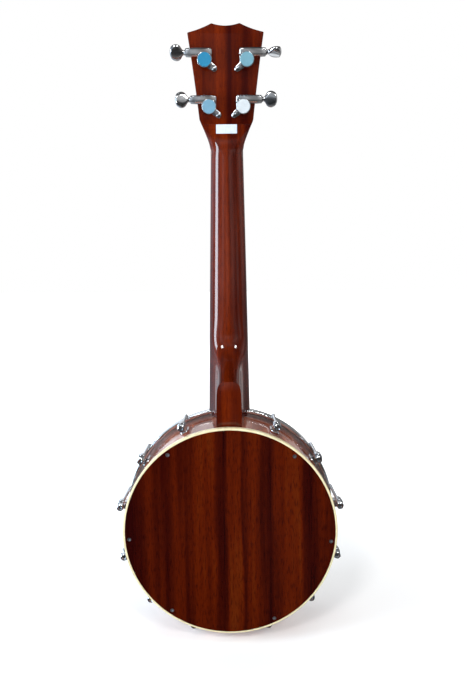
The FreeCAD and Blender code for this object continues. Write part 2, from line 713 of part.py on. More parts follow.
def tuner_frame(post):
    across, along = POSTS[post]
    base = head_point(-across, along, HEAD_WOOD)
    matrix = FreeCAD.Matrix(-1, 0, 0, base.x,
                            0, ALONG_HEAD.y, OUT_OF_HEAD.y, base.y,
                            0, ALONG_HEAD.z, OUT_OF_HEAD.z, base.z,
                            0, 0, 0, 1)
    return FreeCAD.Placement(matrix)


def placed(shape, side, post):
    copy = shape.copy()
    copy.Placement = tuner_frame(post).multiply(copy.Placement)
    return copy if side == "left" else mirrored(copy)


def tuner_names():
    return [(side, post) for side in ("left", "right") for post in ("upper", "lower")]


def on_all_posts(shape):
    return group([placed(shape, side, post) for side, post in tuner_names()])


def up(low, high, radius):
    """A cylinder on the post's axis."""
    return Part.makeCylinder(radius, high - low, Vector(0, 0, low))


def along_worm(low, high, radius):
    """A cylinder on the worm's axis."""
    return Part.makeCylinder(radius, high - low, Vector(low, WORM_OFFSET, GEAR_MIDDLE),
                             Vector(1, 0, 0))


LUG_SCREW = (-8.7, -6.6)
LUG_THICKNESS = 2.6
LUG_SCREW_RADIUS = 1.1
STEM_RADIUS = 4.0
STEM_LENGTH = 8.0
STEM_HOLE = 4.2
GEAR_BOTTOM = GEAR_MIDDLE - GEAR_WIDTH / 2
CAP_RADIUS = 6.0
CAP_SEAT = HOUSING_HEIGHT - 0.4
CAP_TOP = HOUSING_HEIGHT + 0.8
WORM_BUSH_START = 4.4
WORM_ROOM = 2.7


def tuner_holes():
    """Holes through the headstock for the posts and into it for the housings' screws."""
    depth = HEAD_WOOD + OVERLAY
    screw_x, screw_y = LUG_SCREW
    pilot = Part.makeCylinder(LUG_SCREW_RADIUS, 8, Vector(screw_x, screw_y, -8))
    hole = up(-depth - 1, 1, STEM_HOLE)
    return [placed(shape, side, post) for shape in (hole, pilot) for side, post in tuner_names()]


def octagon(x, half):
    cut = half * 0.45
    ring_points = [(half, half - cut), (half - cut, half), (cut - half, half), (-half, half - cut),
                   (-half, cut - half), (cut - half, -half), (half - cut, -half), (half, cut - half)]
    points = [Vector(x, WORM_OFFSET + y, GEAR_MIDDLE + z) for y, z in ring_points]
    return Part.makePolygon(points + [points[0]])


def make_tuner_housing():
    body = up(0, HOUSING_HEIGHT, HOUSING_RADIUS)
    box = Part.makeBox(2 * HOUSING_RADIUS, WORM_OFFSET + 3.6, 7.4, Vector(-HOUSING_RADIUS, 0, 0))
    corners = [edge for edge in box.Edges if edge.CenterOfMass.y > WORM_OFFSET + 3
               and (abs(abs(edge.CenterOfMass.x) - HOUSING_RADIUS) < 0.01
                    or edge.CenterOfMass.z > 7)]
    box = box.makeFillet(1.4, corners)
    sleeve = Part.makeLoft([octagon(HOUSING_RADIUS - 0.7, 3.9), octagon(HOUSING_ARM, 3.3)],
                           True, True)
    screw = Vector(LUG_SCREW[0], LUG_SCREW[1], 0)
    reach = Part.makeBox(screw.Length, 6, LUG_THICKNESS, Vector(0, -3, 0))
    reach.rotate(ORIGIN, Vector(0, 0, 1), math.degrees(math.atan2(screw.y, screw.x)))
    lug = union([reach, Part.makeCylinder(3, LUG_THICKNESS, screw)])
    stem = up(-STEM_LENGTH, 0.5, STEM_RADIUS)
    shell = union([body, box, sleeve, lug, stem])
    screw_hole = Part.makeCylinder(LUG_SCREW_RADIUS + 0.05, 10, screw - Vector(0, 0, 2))
    return shell.cut([up(GEAR_BOTTOM - 0.5, CAP_SEAT, GEAR_RADIUS + 0.7),
                      up(CAP_SEAT, CAP_TOP, CAP_RADIUS), up(-20, 5, POST_RADIUS + RUNNING_FIT),
                      along_worm(-4, HOUSING_ARM, WORM_ROOM), along_worm(-5.4, 0, 1.05),
                      screw_hole])


def make_tuner_cap():
    cap = up(CAP_SEAT, CAP_TOP, CAP_RADIUS)
    rims = [edge for edge in cap.Edges if abs(edge.CenterOfMass.z - CAP_TOP) < 0.01]
    return cap.makeFillet(0.3, rims)


def make_tuner_screw():
    head = Part.makeCone(1.9, 1.3, 1.0, Vector(LUG_SCREW[0], LUG_SCREW[1], LUG_THICKNESS))
    shank = Part.makeCylinder(LUG_SCREW_RADIUS, 7.5 + LUG_THICKNESS,
                              Vector(LUG_SCREW[0], LUG_SCREW[1], -7.5))
    slot = Part.makeBox(2.4, 0.5, 1, Vector(LUG_SCREW[0] - 1.2, LUG_SCREW[1] - 0.25,
                                            LUG_THICKNESS + 0.5))
    cross = slot.copy()
    cross.rotate(Vector(LUG_SCREW[0], LUG_SCREW[1], 0), Vector(0, 0, 1), 90)
    return union([head, shank]).cut([slot, cross])


def bushing_front():
    return -(HEAD_WOOD + OVERLAY)


def make_tuner_washer():
    front = bushing_front()
    return up(front - 0.4, front, 6.0).cut(up(front - 1, front + 1, STEM_HOLE))


def make_tuner_bushing():
    front = bushing_front() - 0.4
    flange = hexagon(Vector(0, 0, front - 1.7), Vector(0, 0, front), 10)
    sleeve = up(front, -STEM_LENGTH - 0.2, STEM_HOLE - 0.1)
    return union([flange, sleeve]).cut(up(-20, 0, POST_RADIUS + RUNNING_FIT))


def make_worm_bush():
    bush = along_worm(WORM_BUSH_START, HOUSING_ARM, WORM_ROOM)
    return bush.cut(along_worm(0, 20, WORM_SHAFT_RADIUS + RUNNING_FIT))


def make_post_gear():
    """A helical wheel: straight-sided teeth, turned a little from one face to the other."""
    pitch = 2 * math.pi / TEETH
    root = GEAR_RADIUS - 0.7
    tip = GEAR_RADIUS + 0.5
    half_tip = 0.11 * pitch
    half_root = 0.36 * pitch
    twist = WORM_LEAD / (2 * math.pi * WORM_RADIUS) / GEAR_RADIUS

    def section(z):
        turn = math.pi / 2 + twist * (z - GEAR_MIDDLE)
        points = []
        for tooth in range(TEETH):
            middle = turn + tooth * pitch
            for radius, offset in ((root, -half_root), (tip, -half_tip), (tip, half_tip),
                                   (root, half_root)):
                angle = middle + offset
                points.append(Vector(radius * math.cos(angle), radius * math.sin(angle), z))
        return Part.makePolygon(points + [points[0]])

    wheel = Part.makeLoft([section(GEAR_BOTTOM), section(GEAR_BOTTOM + GEAR_WIDTH)], True, True)
    return wheel.cut(up(0, 10, 1.7))


def make_worm_shaft():
    """The worm is a helical thread on the shaft that carries the button."""
    length = WORM_TURNS * WORM_LEAD
    flank = math.tan(math.radians(20))
    depth_out = 0.5
    depth_in = 0.75
    half = (WORM_LEAD / 2 - WORM_BACKLASH / 2) / 2
    helix = Part.makeHelix(WORM_LEAD, length, WORM_RADIUS)
    profile = Part.makePolygon([
        Vector(WORM_RADIUS - depth_in, 0, -half - flank * depth_in),
        Vector(WORM_RADIUS + depth_out, 0, -half + flank * depth_out),
        Vector(WORM_RADIUS + depth_out, 0, half - flank * depth_out),
        Vector(WORM_RADIUS - depth_in, 0, half + flank * depth_in),
        Vector(WORM_RADIUS - depth_in, 0, -half - flank * depth_in)])
    thread = Part.Wire(helix).makePipeShell([profile], True, True)
    thread.translate(Vector(0, 0, -length / 2))
    start_turn = 90 + 360 * WORM_TURNS / 2
    thread.rotate(ORIGIN, Vector(0, 0, 1), start_turn)
    to_worm = FreeCAD.Matrix(0, 0, 1, 0,
                             0, 1, 0, WORM_OFFSET,
                             -1, 0, 0, GEAR_MIDDLE,
                             0, 0, 0, 1)
    thread.Placement = FreeCAD.Placement(to_worm).multiply(thread.Placement)
    core = union([along_worm(-3.8, BUTTON_START + 3, WORM_SHAFT_RADIUS), along_worm(-4.9, -3.8, 1.0),
                  along_worm(HOUSING_ARM + 0.2, HOUSING_ARM + 1.0, 2.3)])
    return core.fuse(thread)


BUTTON_SECTIONS = ((0.0, 1.9, 1.9), (1.3, 2.6, 2.0), (3.6, 5.9, 2.4), (6.6, 7.2, 2.9),
                   (9.6, 6.6, 3.4), (11.7, 5.0, 3.6), (12.5, 3.2, 2.4))


BUTTON_TURNS = {"left_upper": 75, "left_lower": 5, "right_upper": 35, "right_lower": -5}


def make_button():
    """An oval button: elliptical sections that swell and flatten, and close at the outer end."""
    wires = []
    for offset, half_height, half_thick in BUTTON_SECTIONS:
        centre = Vector(BUTTON_START + offset, WORM_OFFSET, GEAR_MIDDLE)
        points = []
        for index in range(24):
            turn = 2 * math.pi * index / 24
            points.append(centre + Vector(0, half_height * math.cos(turn),
                                          half_thick * math.sin(turn)))
        loop = Part.BSplineCurve()
        loop.interpolate(points, PeriodicFlag=True)
        wires.append(Part.Wire(loop.toShape()))
    button = Part.makeLoft(wires, True, False)
    return button.cut(along_worm(0, BUTTON_START + 3, WORM_SHAFT_RADIUS))


def make_string_post():
    waist_low = -(WINDING_AT + 4)
    waist_high = -(WINDING_AT - 3)
    post = union([up(-POST_LENGTH, waist_low, POST_RADIUS), up(waist_low, waist_high, POST_WAIST),
                  up(waist_high, GEAR_BOTTOM, POST_RADIUS),
                  up(GEAR_BOTTOM, GEAR_BOTTOM + GEAR_WIDTH, 1.7),
                  up(GEAR_BOTTOM + GEAR_WIDTH, GEAR_BOTTOM + GEAR_WIDTH + 1.2, 2.4)])
    hole = Part.makeCylinder(0.9, 10, Vector(-5, 0, -WINDING_AT - 2), Vector(1, 0, 0))
    screw_slot = Part.makeBox(3.6, 0.6, 1, Vector(-1.8, -0.3, GEAR_BOTTOM + GEAR_WIDTH + 0.7))
    return post.cut([hole, screw_slot])


def make_string_winding(radius):
    """The turns of string on a post, side by side: a sleeve with a round ridge for each turn."""
    turns = 4
    start = -WINDING_AT - turns * radius
    inner = POST_WAIST
    core = POST_WAIST + radius

    def p(r, z):
        return Vector(r, 0, z)

    edges = [line(p(inner, start), p(core, start))]
    for index in range(turns):
        low = start + 2 * radius * index
        edges.append(arc(p(core, low), p(core + radius, low + radius), p(core, low + 2 * radius)))
    end = start + 2 * radius * turns
    edges += [line(p(core, end), p(inner, end)), line(p(inner, end), p(inner, start))]
    return outline(*edges).revolve(ORIGIN, Vector(0, 0, 1), 360)


# ---- strings, bridge and tailpiece ----

def bent_rod(points, bend, radius):
    """A round cord along straight runs joined by arcs."""
    edges = []
    start = points[0]
    for before, corner, after in zip(points, points[1:], points[2:]):
        towards = (before - corner).normalize()
        onwards = (after - corner).normalize()
        half_turn = (math.pi - towards.getAngle(onwards)) / 2
        cut = bend * math.tan(half_turn)
        middle_way = (towards + onwards).normalize()
        gap = bend / math.cos(half_turn) - bend
        first = corner + towards * cut
        last = corner + onwards * cut
        edges.append(line(start, first).toShape())
        edges.append(arc(first, corner + middle_way * gap, last).toShape())
        start = last
    edges.append(line(start, points[-1]).toShape())
    path = Part.Wire(edges)
    circle = Part.Wire(Part.makeCircle(radius, points[0], points[1] - points[0]))
    return path.makePipeShell([circle], True, False)


def string_posts():
    """Which post each string goes to, from left to right."""
    return [("left", "lower"), ("left", "upper"), ("right", "upper"), ("right", "lower")]


def knot_depth():
    return tail_plate_back() + SHEET + 1.6


def string_route(index):
    """From the knot in the tailpiece over the bridge and the nut to the turns on the post."""
    radius = STRING_RADII[index]
    side, post = string_posts()[index]
    across, along = POSTS[post]
    sign = -1 if side == "left" else 1
    clearance = POST_WAIST + 2 * radius + 0.3 + radius
    end_x = sign * (across - clearance)
    end = head_point(end_x, along, HEAD_WOOD - WINDING_AT)
    lift = 0.06
    return [at(string_offsets(TAIL_SPACING)[index], knot_depth(), tail_lip_z() - SHEET - 0.8),
            at(string_offsets(BRIDGE_SPACING)[index], bridge_top_depth() + radius + lift, BRIDGE_Z),
            at(string_offsets(NUT_SPACING)[index], slot_depth() + radius + lift,
               NUT_Z + NUT_LENGTH / 2), end]


def string_room():
    """The grooves that the strings lie in, for cutting what they pass over."""
    return [bent_rod(string_route(index), STRING_BEND, radius + STRING_FIT)
            for index, radius in enumerate(STRING_RADII)]


def with_grooves(shape):
    """What the strings pass over, grooved for one string after another."""
    for room in string_room():
        shape = shape.cut(room)
    return shape


def make_string(index):
    route = string_route(index)
    print("string", index + 1, "bend radius", STRING_BEND)
    string = bent_rod(route, STRING_BEND, STRING_RADII[index])
    tail_z = tail_lip_z() - SHEET
    knot_end = at(route[0].x, knot_depth(), tail_z)
    knot = rod(at(route[0].x, knot_depth(), tail_z - KNOT_LENGTH), knot_end, KNOT_RADIUS)
    return union([string, knot])


def make_bridge():
    """A three-footed bridge, thick at its feet and thin under the strings."""
    top = bridge_top_depth() - SADDLE_HEIGHT
    foot = POT_DEPTH
    half = BRIDGE_WIDTH / 2
    arch = foot + 5.5

    def p(x, depth):
        return at(x, depth, BRIDGE_Z - 3)

    face = outline(
        line(p(-half, foot), p(-half + 8, foot)),
        arc(p(-half + 8, foot), p(-half / 2 - 0.5, arch), p(-4.5, foot)),
        line(p(-4.5, foot), p(4.5, foot)),
        arc(p(4.5, foot), p(half / 2 + 0.5, arch), p(half - 8, foot)),
        line(p(half - 8, foot), p(half, foot)),
        arc(p(half, foot), p(half - 2.6, foot + 5), p(half - 2, top)),
        line(p(half - 2, top), p(2 - half, top)),
        arc(p(2 - half, top), p(2.6 - half, foot + 5), p(-half, foot)))
    bridge = face.extrude(Vector(0, 0, 6))
    return bridge.common(bridge_wedge())


def bridge_wedge():
    """The bridge's side view: a wedge that is upright on its tail side."""
    base = 5.0
    crest = 2.0
    side = -BRIDGE_WIDTH
    points = [at(side, POT_DEPTH, BRIDGE_Z - crest / 2),
              at(side, POT_DEPTH, BRIDGE_Z - crest / 2 + base),
              at(side, bridge_top_depth() + 2, BRIDGE_Z + crest / 2),
              at(side, bridge_top_depth() + 2, BRIDGE_Z - crest / 2)]
    return polygon(points).extrude(Vector(2 * BRIDGE_WIDTH, 0, 0))


def make_bridge_saddle():
    half = BRIDGE_WIDTH / 2 - 2
    low = bridge_top_depth() - SADDLE_HEIGHT
    corner = at(-half, low + SADDLE_HEIGHT + 0.4, BRIDGE_Z - 4)
    strip = Part.makeBox(2 * half, SADDLE_HEIGHT + 0.4, 8, corner)
    strip = strip.common(bridge_wedge())
    return with_grooves(strip)


def tail_plate_back():
    return HOOP_FRONT + TAIL_LIFT


def tail_leg_z():
    """Outer face of the tailpiece's leg."""
    return -(HOOP_OUTSIDE + TAIL_CLEARANCE + SHEET)


def tail_lip_z():
    return tail_leg_z() + TAIL_REACH + SHEET


def make_tailpiece():
    """Bent sheet: a leg down the outside of the hoop, a plate over it, and an upright lip."""
    back = tail_plate_back()
    front = back + SHEET
    leg = tail_leg_z()
    lip = tail_lip_z()
    end = ROD_DEPTH - 8
    half = TAIL_WIDTH / 2
    bend = 3.0
    bent = bend * (1 - math.sqrt(0.5))
    inner_bend = bend - SHEET
    inner_bent = inner_bend * (1 - math.sqrt(0.5))

    def p(depth, z):
        return at(-half, depth, z)

    inside = leg + SHEET
    profile = outline(
        line(p(end, leg), p(front - bend, leg)),
        arc(p(front - bend, leg), p(front - bent, leg + bent), p(front, leg + bend)),
        line(p(front, leg + bend), p(front, lip - SHEET)),
        line(p(front, lip - SHEET), p(front + TAIL_LIP, lip - SHEET)),
        line(p(front + TAIL_LIP, lip - SHEET), p(front + TAIL_LIP, lip)),
        line(p(front + TAIL_LIP, lip), p(back, lip)),
        line(p(back, lip), p(back, inside + inner_bend)),
        arc(p(back, inside + inner_bend), p(back - inner_bent, inside + inner_bent),
            p(back - inner_bend, inside)),
        line(p(back - inner_bend, inside), p(end, inside)),
        line(p(end, inside), p(end, leg)))
    sheet = profile.extrude(Vector(TAIL_WIDTH, 0, 0))
    taper = polygon([at(-half, back - 6, leg - 9), at(-half, end - 1, leg - 9),
                     at(-7, end - 1, leg - 9)]).extrude(Vector(0, 0, 20))
    cuts = [taper, mirrored(taper)]
    cuts.append(rod(at(0, ROD_DEPTH, leg - 5), at(0, ROD_DEPTH, inside + 3), HANGER_RADIUS + BOLT_FIT))
    for x, radius in zip(string_offsets(TAIL_SPACING), STRING_RADII):
        cuts.append(Part.makeBox(2 * radius + 0.5, TAIL_LIP + 1, 4,
                                 at(x - radius - 0.25, knot_depth() + TAIL_LIP + 1, lip - 3)))
    hole_z = (leg + lip) / 2 + 3
    for x in (-TAIL_WIDTH / 4, 0, TAIL_WIDTH / 4):
        cuts.append(rod(at(x, back - 1, hole_z), at(x, front + 1, hole_z), 2.2))
    return with_grooves(sheet.cut(cuts))


def make_tail_bolt():
    seat = at(0, ROD_DEPTH, tail_leg_z())
    head = hexagon(at(0, ROD_DEPTH, tail_leg_z() - 4), seat, PLAIN_NUT_FLATS)
    shank = rod(at(0, ROD_DEPTH, tail_leg_z() - 1), at(0, ROD_DEPTH, 7 - RIM_INSIDE), HANGER_RADIUS)
    return union([head, shank])


def make_tail_spacer():
    start = at(0, ROD_DEPTH, tail_leg_z() + SHEET)
    end = at(0, ROD_DEPTH, -RIM_RADIUS)
    return tube(start, end, 4.5, HANGER_RADIUS + BOLT_FIT)


# ---- writing the pieces out ----

def all_pieces():
    frets = make_frets()
    markers = make_fret_markers()
    pieces = {
        "rim": make_rim(),
        "back_plate": make_back_plate(),
        "back_binding": make_back_binding(),
        "back_screws": make_back_screws(),
        "drumhead": make_drumhead(),
        "flesh_hoop": make_flesh_hoop(),
        "tension_hoop": make_tension_hoop(),
        "tension_hooks": make_tension_hooks(),
        "hook_nuts": make_hook_nuts(),
        "bracket_shoes": make_bracket_shoes(),
        "shoe_bolts": make_shoe_bolts(),
        "coordinator_rod": make_coordinator_rod(),
        "hanger_bolts": group(hanger_bolts(0)),
        "hanger_nuts": make_hanger_nuts(),
        "neck": make_neck(),
        "headstock": make_headstock(),
        "headstock_overlay": make_headstock_overlay(),
        "headstock_label": make_label(),
        "fretboard": make_fretboard(frets, markers),
        "frets": group(frets),
        "fret_markers": group(markers),
        "nut": make_nut(),
        "bridge": make_bridge(),
        "bridge_saddle": make_bridge_saddle(),
        "tailpiece": make_tailpiece(),
        "tail_bolt": make_tail_bolt(),
        "tail_spacer": make_tail_spacer(),
        "tuner_caps": on_all_posts(make_tuner_cap()),
        "tuner_screws": on_all_posts(make_tuner_screw()),
        "tuner_washers": on_all_posts(make_tuner_washer()),
        "tuner_bushings": on_all_posts(make_tuner_bushing()),
        "worm_bushes": on_all_posts(make_worm_bush()),
    }
    housing = make_tuner_housing()
    button = make_button()
    worm_shaft = make_worm_shaft()
    post_shape = make_string_post()
    gear = make_post_gear()
    for side, post in tuner_names():
        name = side + "_" + post
        radius = STRING_RADII[string_posts().index((side, post))]
        pieces["tuner_housing_" + name] = placed(housing, side, post)
        turned = button.copy()
        turned.rotate(Vector(0, WORM_OFFSET, GEAR_MIDDLE), Vector(1, 0, 0), BUTTON_TURNS[name])
        pieces["button_" + name] = placed(turned, side, post)
        pieces["worm_shaft_" + name] = placed(worm_shaft, side, post)
        pieces["string_post_" + name] = placed(post_shape, side, post)
        pieces["post_gear_" + name] = placed(gear, side, post)
        pieces["string_winding_" + name] = placed(make_string_winding(radius), side, post)
    for index in range(4):
        pieces["string_" + str(index + 1)] = make_string(index)
    return pieces


def main():
    os.makedirs("parts", exist_ok=True)
    for name, shape in all_pieces().items():
        shape.exportStep("parts/" + name + ".step")


main()
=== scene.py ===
import math

import bmesh
import bpy
from mathutils import Matrix, Vector


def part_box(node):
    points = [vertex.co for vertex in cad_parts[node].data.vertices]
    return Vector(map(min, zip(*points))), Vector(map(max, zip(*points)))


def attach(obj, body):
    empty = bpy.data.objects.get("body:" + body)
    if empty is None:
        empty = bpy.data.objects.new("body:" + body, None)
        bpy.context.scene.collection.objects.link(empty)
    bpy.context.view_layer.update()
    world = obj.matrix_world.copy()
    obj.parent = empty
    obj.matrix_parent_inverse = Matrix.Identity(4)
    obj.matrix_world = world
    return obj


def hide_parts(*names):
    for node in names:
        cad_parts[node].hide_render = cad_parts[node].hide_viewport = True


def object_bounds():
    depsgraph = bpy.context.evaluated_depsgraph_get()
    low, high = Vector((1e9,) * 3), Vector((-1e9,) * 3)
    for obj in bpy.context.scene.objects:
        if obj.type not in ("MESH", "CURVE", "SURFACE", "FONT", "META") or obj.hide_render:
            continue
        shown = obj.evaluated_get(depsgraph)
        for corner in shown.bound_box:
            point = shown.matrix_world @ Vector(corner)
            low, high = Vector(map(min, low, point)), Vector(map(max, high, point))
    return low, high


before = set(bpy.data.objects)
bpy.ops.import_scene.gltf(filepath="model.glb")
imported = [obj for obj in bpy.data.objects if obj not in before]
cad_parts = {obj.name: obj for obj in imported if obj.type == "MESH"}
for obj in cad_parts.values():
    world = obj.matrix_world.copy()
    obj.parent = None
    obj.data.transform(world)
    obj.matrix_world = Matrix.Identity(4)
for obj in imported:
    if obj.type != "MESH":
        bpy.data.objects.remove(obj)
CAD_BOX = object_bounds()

# A four-string banjo ukulele seen from behind. Lengths are in millimetres until a mesh is made.
# The frame is the CAD model's: the origin is the middle of the back's outer face, +Z runs up the
# neck and the back faces +Y. Depth is the distance in front of that face.

MM = 0.001
LOW = {name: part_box(name)[0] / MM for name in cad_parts}
HIGH = {name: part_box(name)[1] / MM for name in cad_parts}
TUNERS = [(side, post) for side in ("left", "right") for post in ("upper", "lower")]

# ---- sizes read from the frame ----
RIM = HIGH["rim"].x
BINDING = HIGH["back_binding"].x
HOOP = HIGH["tension_hoop"].x
HOOP_FRONT = -LOW["tension_hoop"].y
HOOP_BACK = -HIGH["tension_hoop"].y
HEAD_FRONT = -LOW["drumhead"].y
HEAD_RADIUS = HIGH["drumhead"].x
FLESH_FRONT = -LOW["flesh_hoop"].y
BOARD_BACK = -HIGH["fretboard"].y
BOARD_FRONT = -LOW["fretboard"].y
BOARD_END = LOW["fretboard"].z
NUT_Z = LOW["nut"].z
HEAD_Z = round(HIGH["nut"].z, 1)
HEEL_CAP = -HIGH["neck"].y

# ---- sizes of the details ----
BACK_THICK = 5.0
BINDING_WIDTH = 2.0
RIM_WALL = 10.6
RIM_STEP = 14.5
HOOP_WALL = 3.0
NOTCH_DEPTH = 2.2
NOTCH_HALF = 1.8
HOOK_ANGLES = (25.0, 52.0, 79.0, 106.0, 133.0, 160.0)
HOOK_RADIUS = 1.5
HOOK_AXIS = HOOP + 0.05 + HOOK_RADIUS
HOOK_END = -HIGH["tension_hooks"].y
NUT_LOW = -HIGH["hook_nuts"].y
NUT_HEIGHT = 5.7
FLANGE = 1.2
SHOE_LOW = -HIGH["bracket_shoes"].y
SHOE_HIGH = -LOW["bracket_shoes"].y
TILT = math.radians(8.0)
HEAD_WOOD = 12.5
OVERLAY = 1.0
SCARF_AT = 18.6
SCOOP_AT = 8.0
SCOOP_RADIUS = 56.0
# each post's distance from the middle of the headstock, and up it
POSTS = {"upper": (19.5, 73.0), "lower": (16.1, 33.0)}
SCALE = 381.0
BOARD_WIDE = 42.4
BOARD_NARROW = 32.0
# the fret below each marker, and the marker's distance from the middle
MARKERS = ((5, 0), (7, 0), (10, 0), (12, -7), (12, 7), (15, 0))
MARKER_RADIUS = 3.0
HOUSING = 6.7
TUNER_SCREW = (-8.7, -6.6)
BUTTON_START = 18.9
BUTTON_LENGTH = 12.5
WORM_OFFSET = 6.6
WORM_HEIGHT = 4.2
ALONG_HEAD = Vector((0, math.sin(TILT), math.cos(TILT)))
OUT_OF_HEAD = Vector((0, math.cos(TILT), -math.sin(TILT)))


# ---- shells: points in millimetres, and the faces that join them ----

class Shell:
    def __init__(self, points=(), faces=()):
        self.points = [Vector(point) for point in points]
        self.faces = [tuple(face) for face in faces]

    def add(self, other):
        start = len(self.points)
        self.points += other.points
        self.faces += [tuple(start + corner for corner in face) for face in other.faces]
        return self

    def placed(self, place):
        """A copy with each point sent through a function."""
        return Shell([place(point) for point in self.points], self.faces)


def loft(rings, closed=True, wrap=False, caps=True):
    """Joins rings of points to one another."""
    count = len(rings[0])
    points = [point for one in rings for point in one]
    faces = []
    spans = len(rings) if wrap else len(rings) - 1
    steps = count if closed else count - 1
    for index in range(spans):
        here = index * count
        there = (index + 1) % len(rings) * count
        for step in range(steps):
            after = (step + 1) % count
            faces.append((here + step, here + after, there + after, there + step))
    if caps and not wrap:
        faces.append(tuple(reversed(range(count))))
        faces.append(tuple(range((len(rings) - 1) * count, len(rings) * count)))
    return Shell(points, faces)


def lathe(profile, segments=96, closed=True):
    """Turns (radius, height) points about the z axis; a profile that isn't closed ends on it."""
    rings = []
    for index in range(segments):
        turn = 2 * math.pi * index / segments
        rings.append([Vector((radius * math.cos(turn), radius * math.sin(turn), height))
                      for radius, height in profile])
    return loft(rings, closed=closed, wrap=True, caps=False)


def rounded(corners, radius, steps=5, closed=True):
    """A flat outline with its corners rounded; a corner may carry a radius of its own."""
    result = []
    count = len(corners)
    for index, corner in enumerate(corners):
        here = Vector(corner[:2])
        own = corner[2] if len(corner) > 2 else radius
        if own == 0 or (not closed and index in (0, count - 1)):
            result.append(here)
            continue
        before = Vector(corners[index - 1][:2]) - here
        after = Vector(corners[(index + 1) % count][:2]) - here
        half = before.angle(after) / 2
        reach = min(own / math.tan(half), 0.48 * before.length, 0.48 * after.length)
        size = reach * math.tan(half)
        if half > 1.55 or size < 1e-6:
            result.append(here)
            continue
        centre = here + (before.normalized() + after.normalized()).normalized() * size / math.sin(half)
        start = here + before.normalized() * reach - centre
        end = here + after.normalized() * reach - centre
        first = math.atan2(start.y, start.x)
        sweep = math.atan2(end.y, end.x) - first
        sweep = (sweep + math.pi) % (2 * math.pi) - math.pi
        for step in range(steps + 1):
            turn = first + sweep * step / steps
            result.append(centre + Vector((math.cos(turn), math.sin(turn))) * size)
    return result


def inset(outline, distance):
    """A closed outline moved inwards by this distance."""
    area = sum(a.x * b.y - b.x * a.y for a, b in zip(outline, outline[1:] + outline[:1]))
    side = 1 if area > 0 else -1
    result = []
    for index, here in enumerate(outline):
        before = (here - outline[index - 1]).normalized()
        after = (outline[(index + 1) % len(outline)] - here).normalized()
        normal = Vector((-before.y - after.y, before.x + after.x)) * side
        if normal.length < 1e-9:
            result.append(here.copy())
            continue
        normal.normalize()
        spread = max(0.5, normal.dot(Vector((-before.y, before.x)) * side))
        result.append(here + normal * distance / spread)
    return result


def prism(outline, low, high, bevel=0.3, steps=3):
    """An outline pushed from one height to another, with its two rims rounded over."""
    rings = []
    turns = [math.pi / 2 * step / steps for step in range(steps + 1)]
    for level, way, order in ((low, 1, turns), (high, -1, turns[::-1])):
        for turn in order:
            height = level + way * bevel * (1 - math.cos(turn))
            ring = inset(outline, bevel * (1 - math.sin(turn)))
            rings.append([Vector((p.x, p.y, height)) for p in ring])
    return loft(rings)


def circle(radius, count=48, centre=(0, 0)):
    return [Vector((centre[0] + radius * math.cos(2 * math.pi * k / count),
                    centre[1] + radius * math.sin(2 * math.pi * k / count))) for k in range(count)]


# ---- places ----

def on_front(point):
    """Sends (across, up, depth) to its place."""
    return Vector((point.x, -point.z, point.y))


def on_pot(angle):
    """Sends (across, out from the axis, depth) to its place at this angle round the pot."""
    turn = math.radians(angle)

    def place(point):
        x = point.x * math.cos(turn) + point.y * math.sin(turn)
        z = point.y * math.cos(turn) - point.x * math.sin(turn)
        return Vector((x, -point.z, z))
    return place


def head_point(x, along, out):
    """A place on the headstock; out is measured backwards from the front of its wood."""
    return Vector((x, -BOARD_BACK, HEAD_Z)) + ALONG_HEAD * along + OUT_OF_HEAD * out


def on_head(point):
    return head_point(point.x, point.y, point.z)


def on_tuner(side, post):
    """Sends (outwards, up the headstock, out of its back) to its place for this tuner."""
    across, along = POSTS[post]
    sign = -1 if side == "left" else 1

    def place(point):
        return head_point(sign * (across + point.x), along + point.y, HEAD_WOOD + point.z)
    return place


def hook_places():
    return [side * angle for angle in HOOK_ANGLES for side in (1, -1)]


# ---- making pieces ----

def make_mesh(name, shell, weld=True):
    mesh = bpy.data.meshes.new(name)
    mesh.from_pydata([point * MM for point in shell.points], [], shell.faces)
    build = bmesh.new()
    build.from_mesh(mesh)
    if weld:
        bmesh.ops.remove_doubles(build, verts=build.verts, dist=1e-7)
        bmesh.ops.dissolve_degenerate(build, edges=build.edges, dist=1e-8)
    bmesh.ops.recalc_face_normals(build, faces=build.faces)
    build.to_mesh(mesh)
    build.free()
    return mesh


def link_object(name, data):
    made = bpy.data.objects.new(name, data)
    bpy.context.scene.collection.objects.link(made)
    return made


def make_piece(name, shell, material, slot, body="root", replaces=(), smooth=32.0):
    """A mesh object from a shell, with its sharp edges kept by angle."""
    mesh = make_mesh(name, shell)
    mesh.shade_smooth()
    mesh.set_sharp_from_angle(angle=math.radians(smooth))
    piece = link_object(name, mesh)
    finish_piece(piece, material, body, replaces, slot)
    return piece


def stand_in(node, shell, material, slot, body="root", smooth=32.0):
    """A new mesh that takes a CAD node's place."""
    return make_piece(node + "_look", shell, material, slot, body, (node,), smooth)


def finish_piece(piece, material, body, replaces, slot):
    piece.data.materials.clear()
    piece.data.materials.append(material)
    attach(piece, body)
    for node in replaces:
        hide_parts(node)


def smooth_copy(node, material, slot, body="root", smooth=30.0):
    """Stands for a CAD node whose shape is right but which needs smooth shading."""
    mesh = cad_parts[node].data.copy()
    build = bmesh.new()
    build.from_mesh(mesh)
    bmesh.ops.remove_doubles(build, verts=build.verts, dist=1e-6)
    build.to_mesh(mesh)
    build.free()
    mesh.shade_smooth()
    mesh.set_sharp_from_angle(angle=math.radians(smooth))
    finish_piece(link_object(node + "_look", mesh), material, body, (node,), slot)


def apply_modifiers(piece):
    bpy.context.view_layer.update()
    graph = bpy.context.evaluated_depsgraph_get()
    result = bpy.data.meshes.new_from_object(piece.evaluated_get(graph))
    piece.modifiers.clear()
    piece.data = result


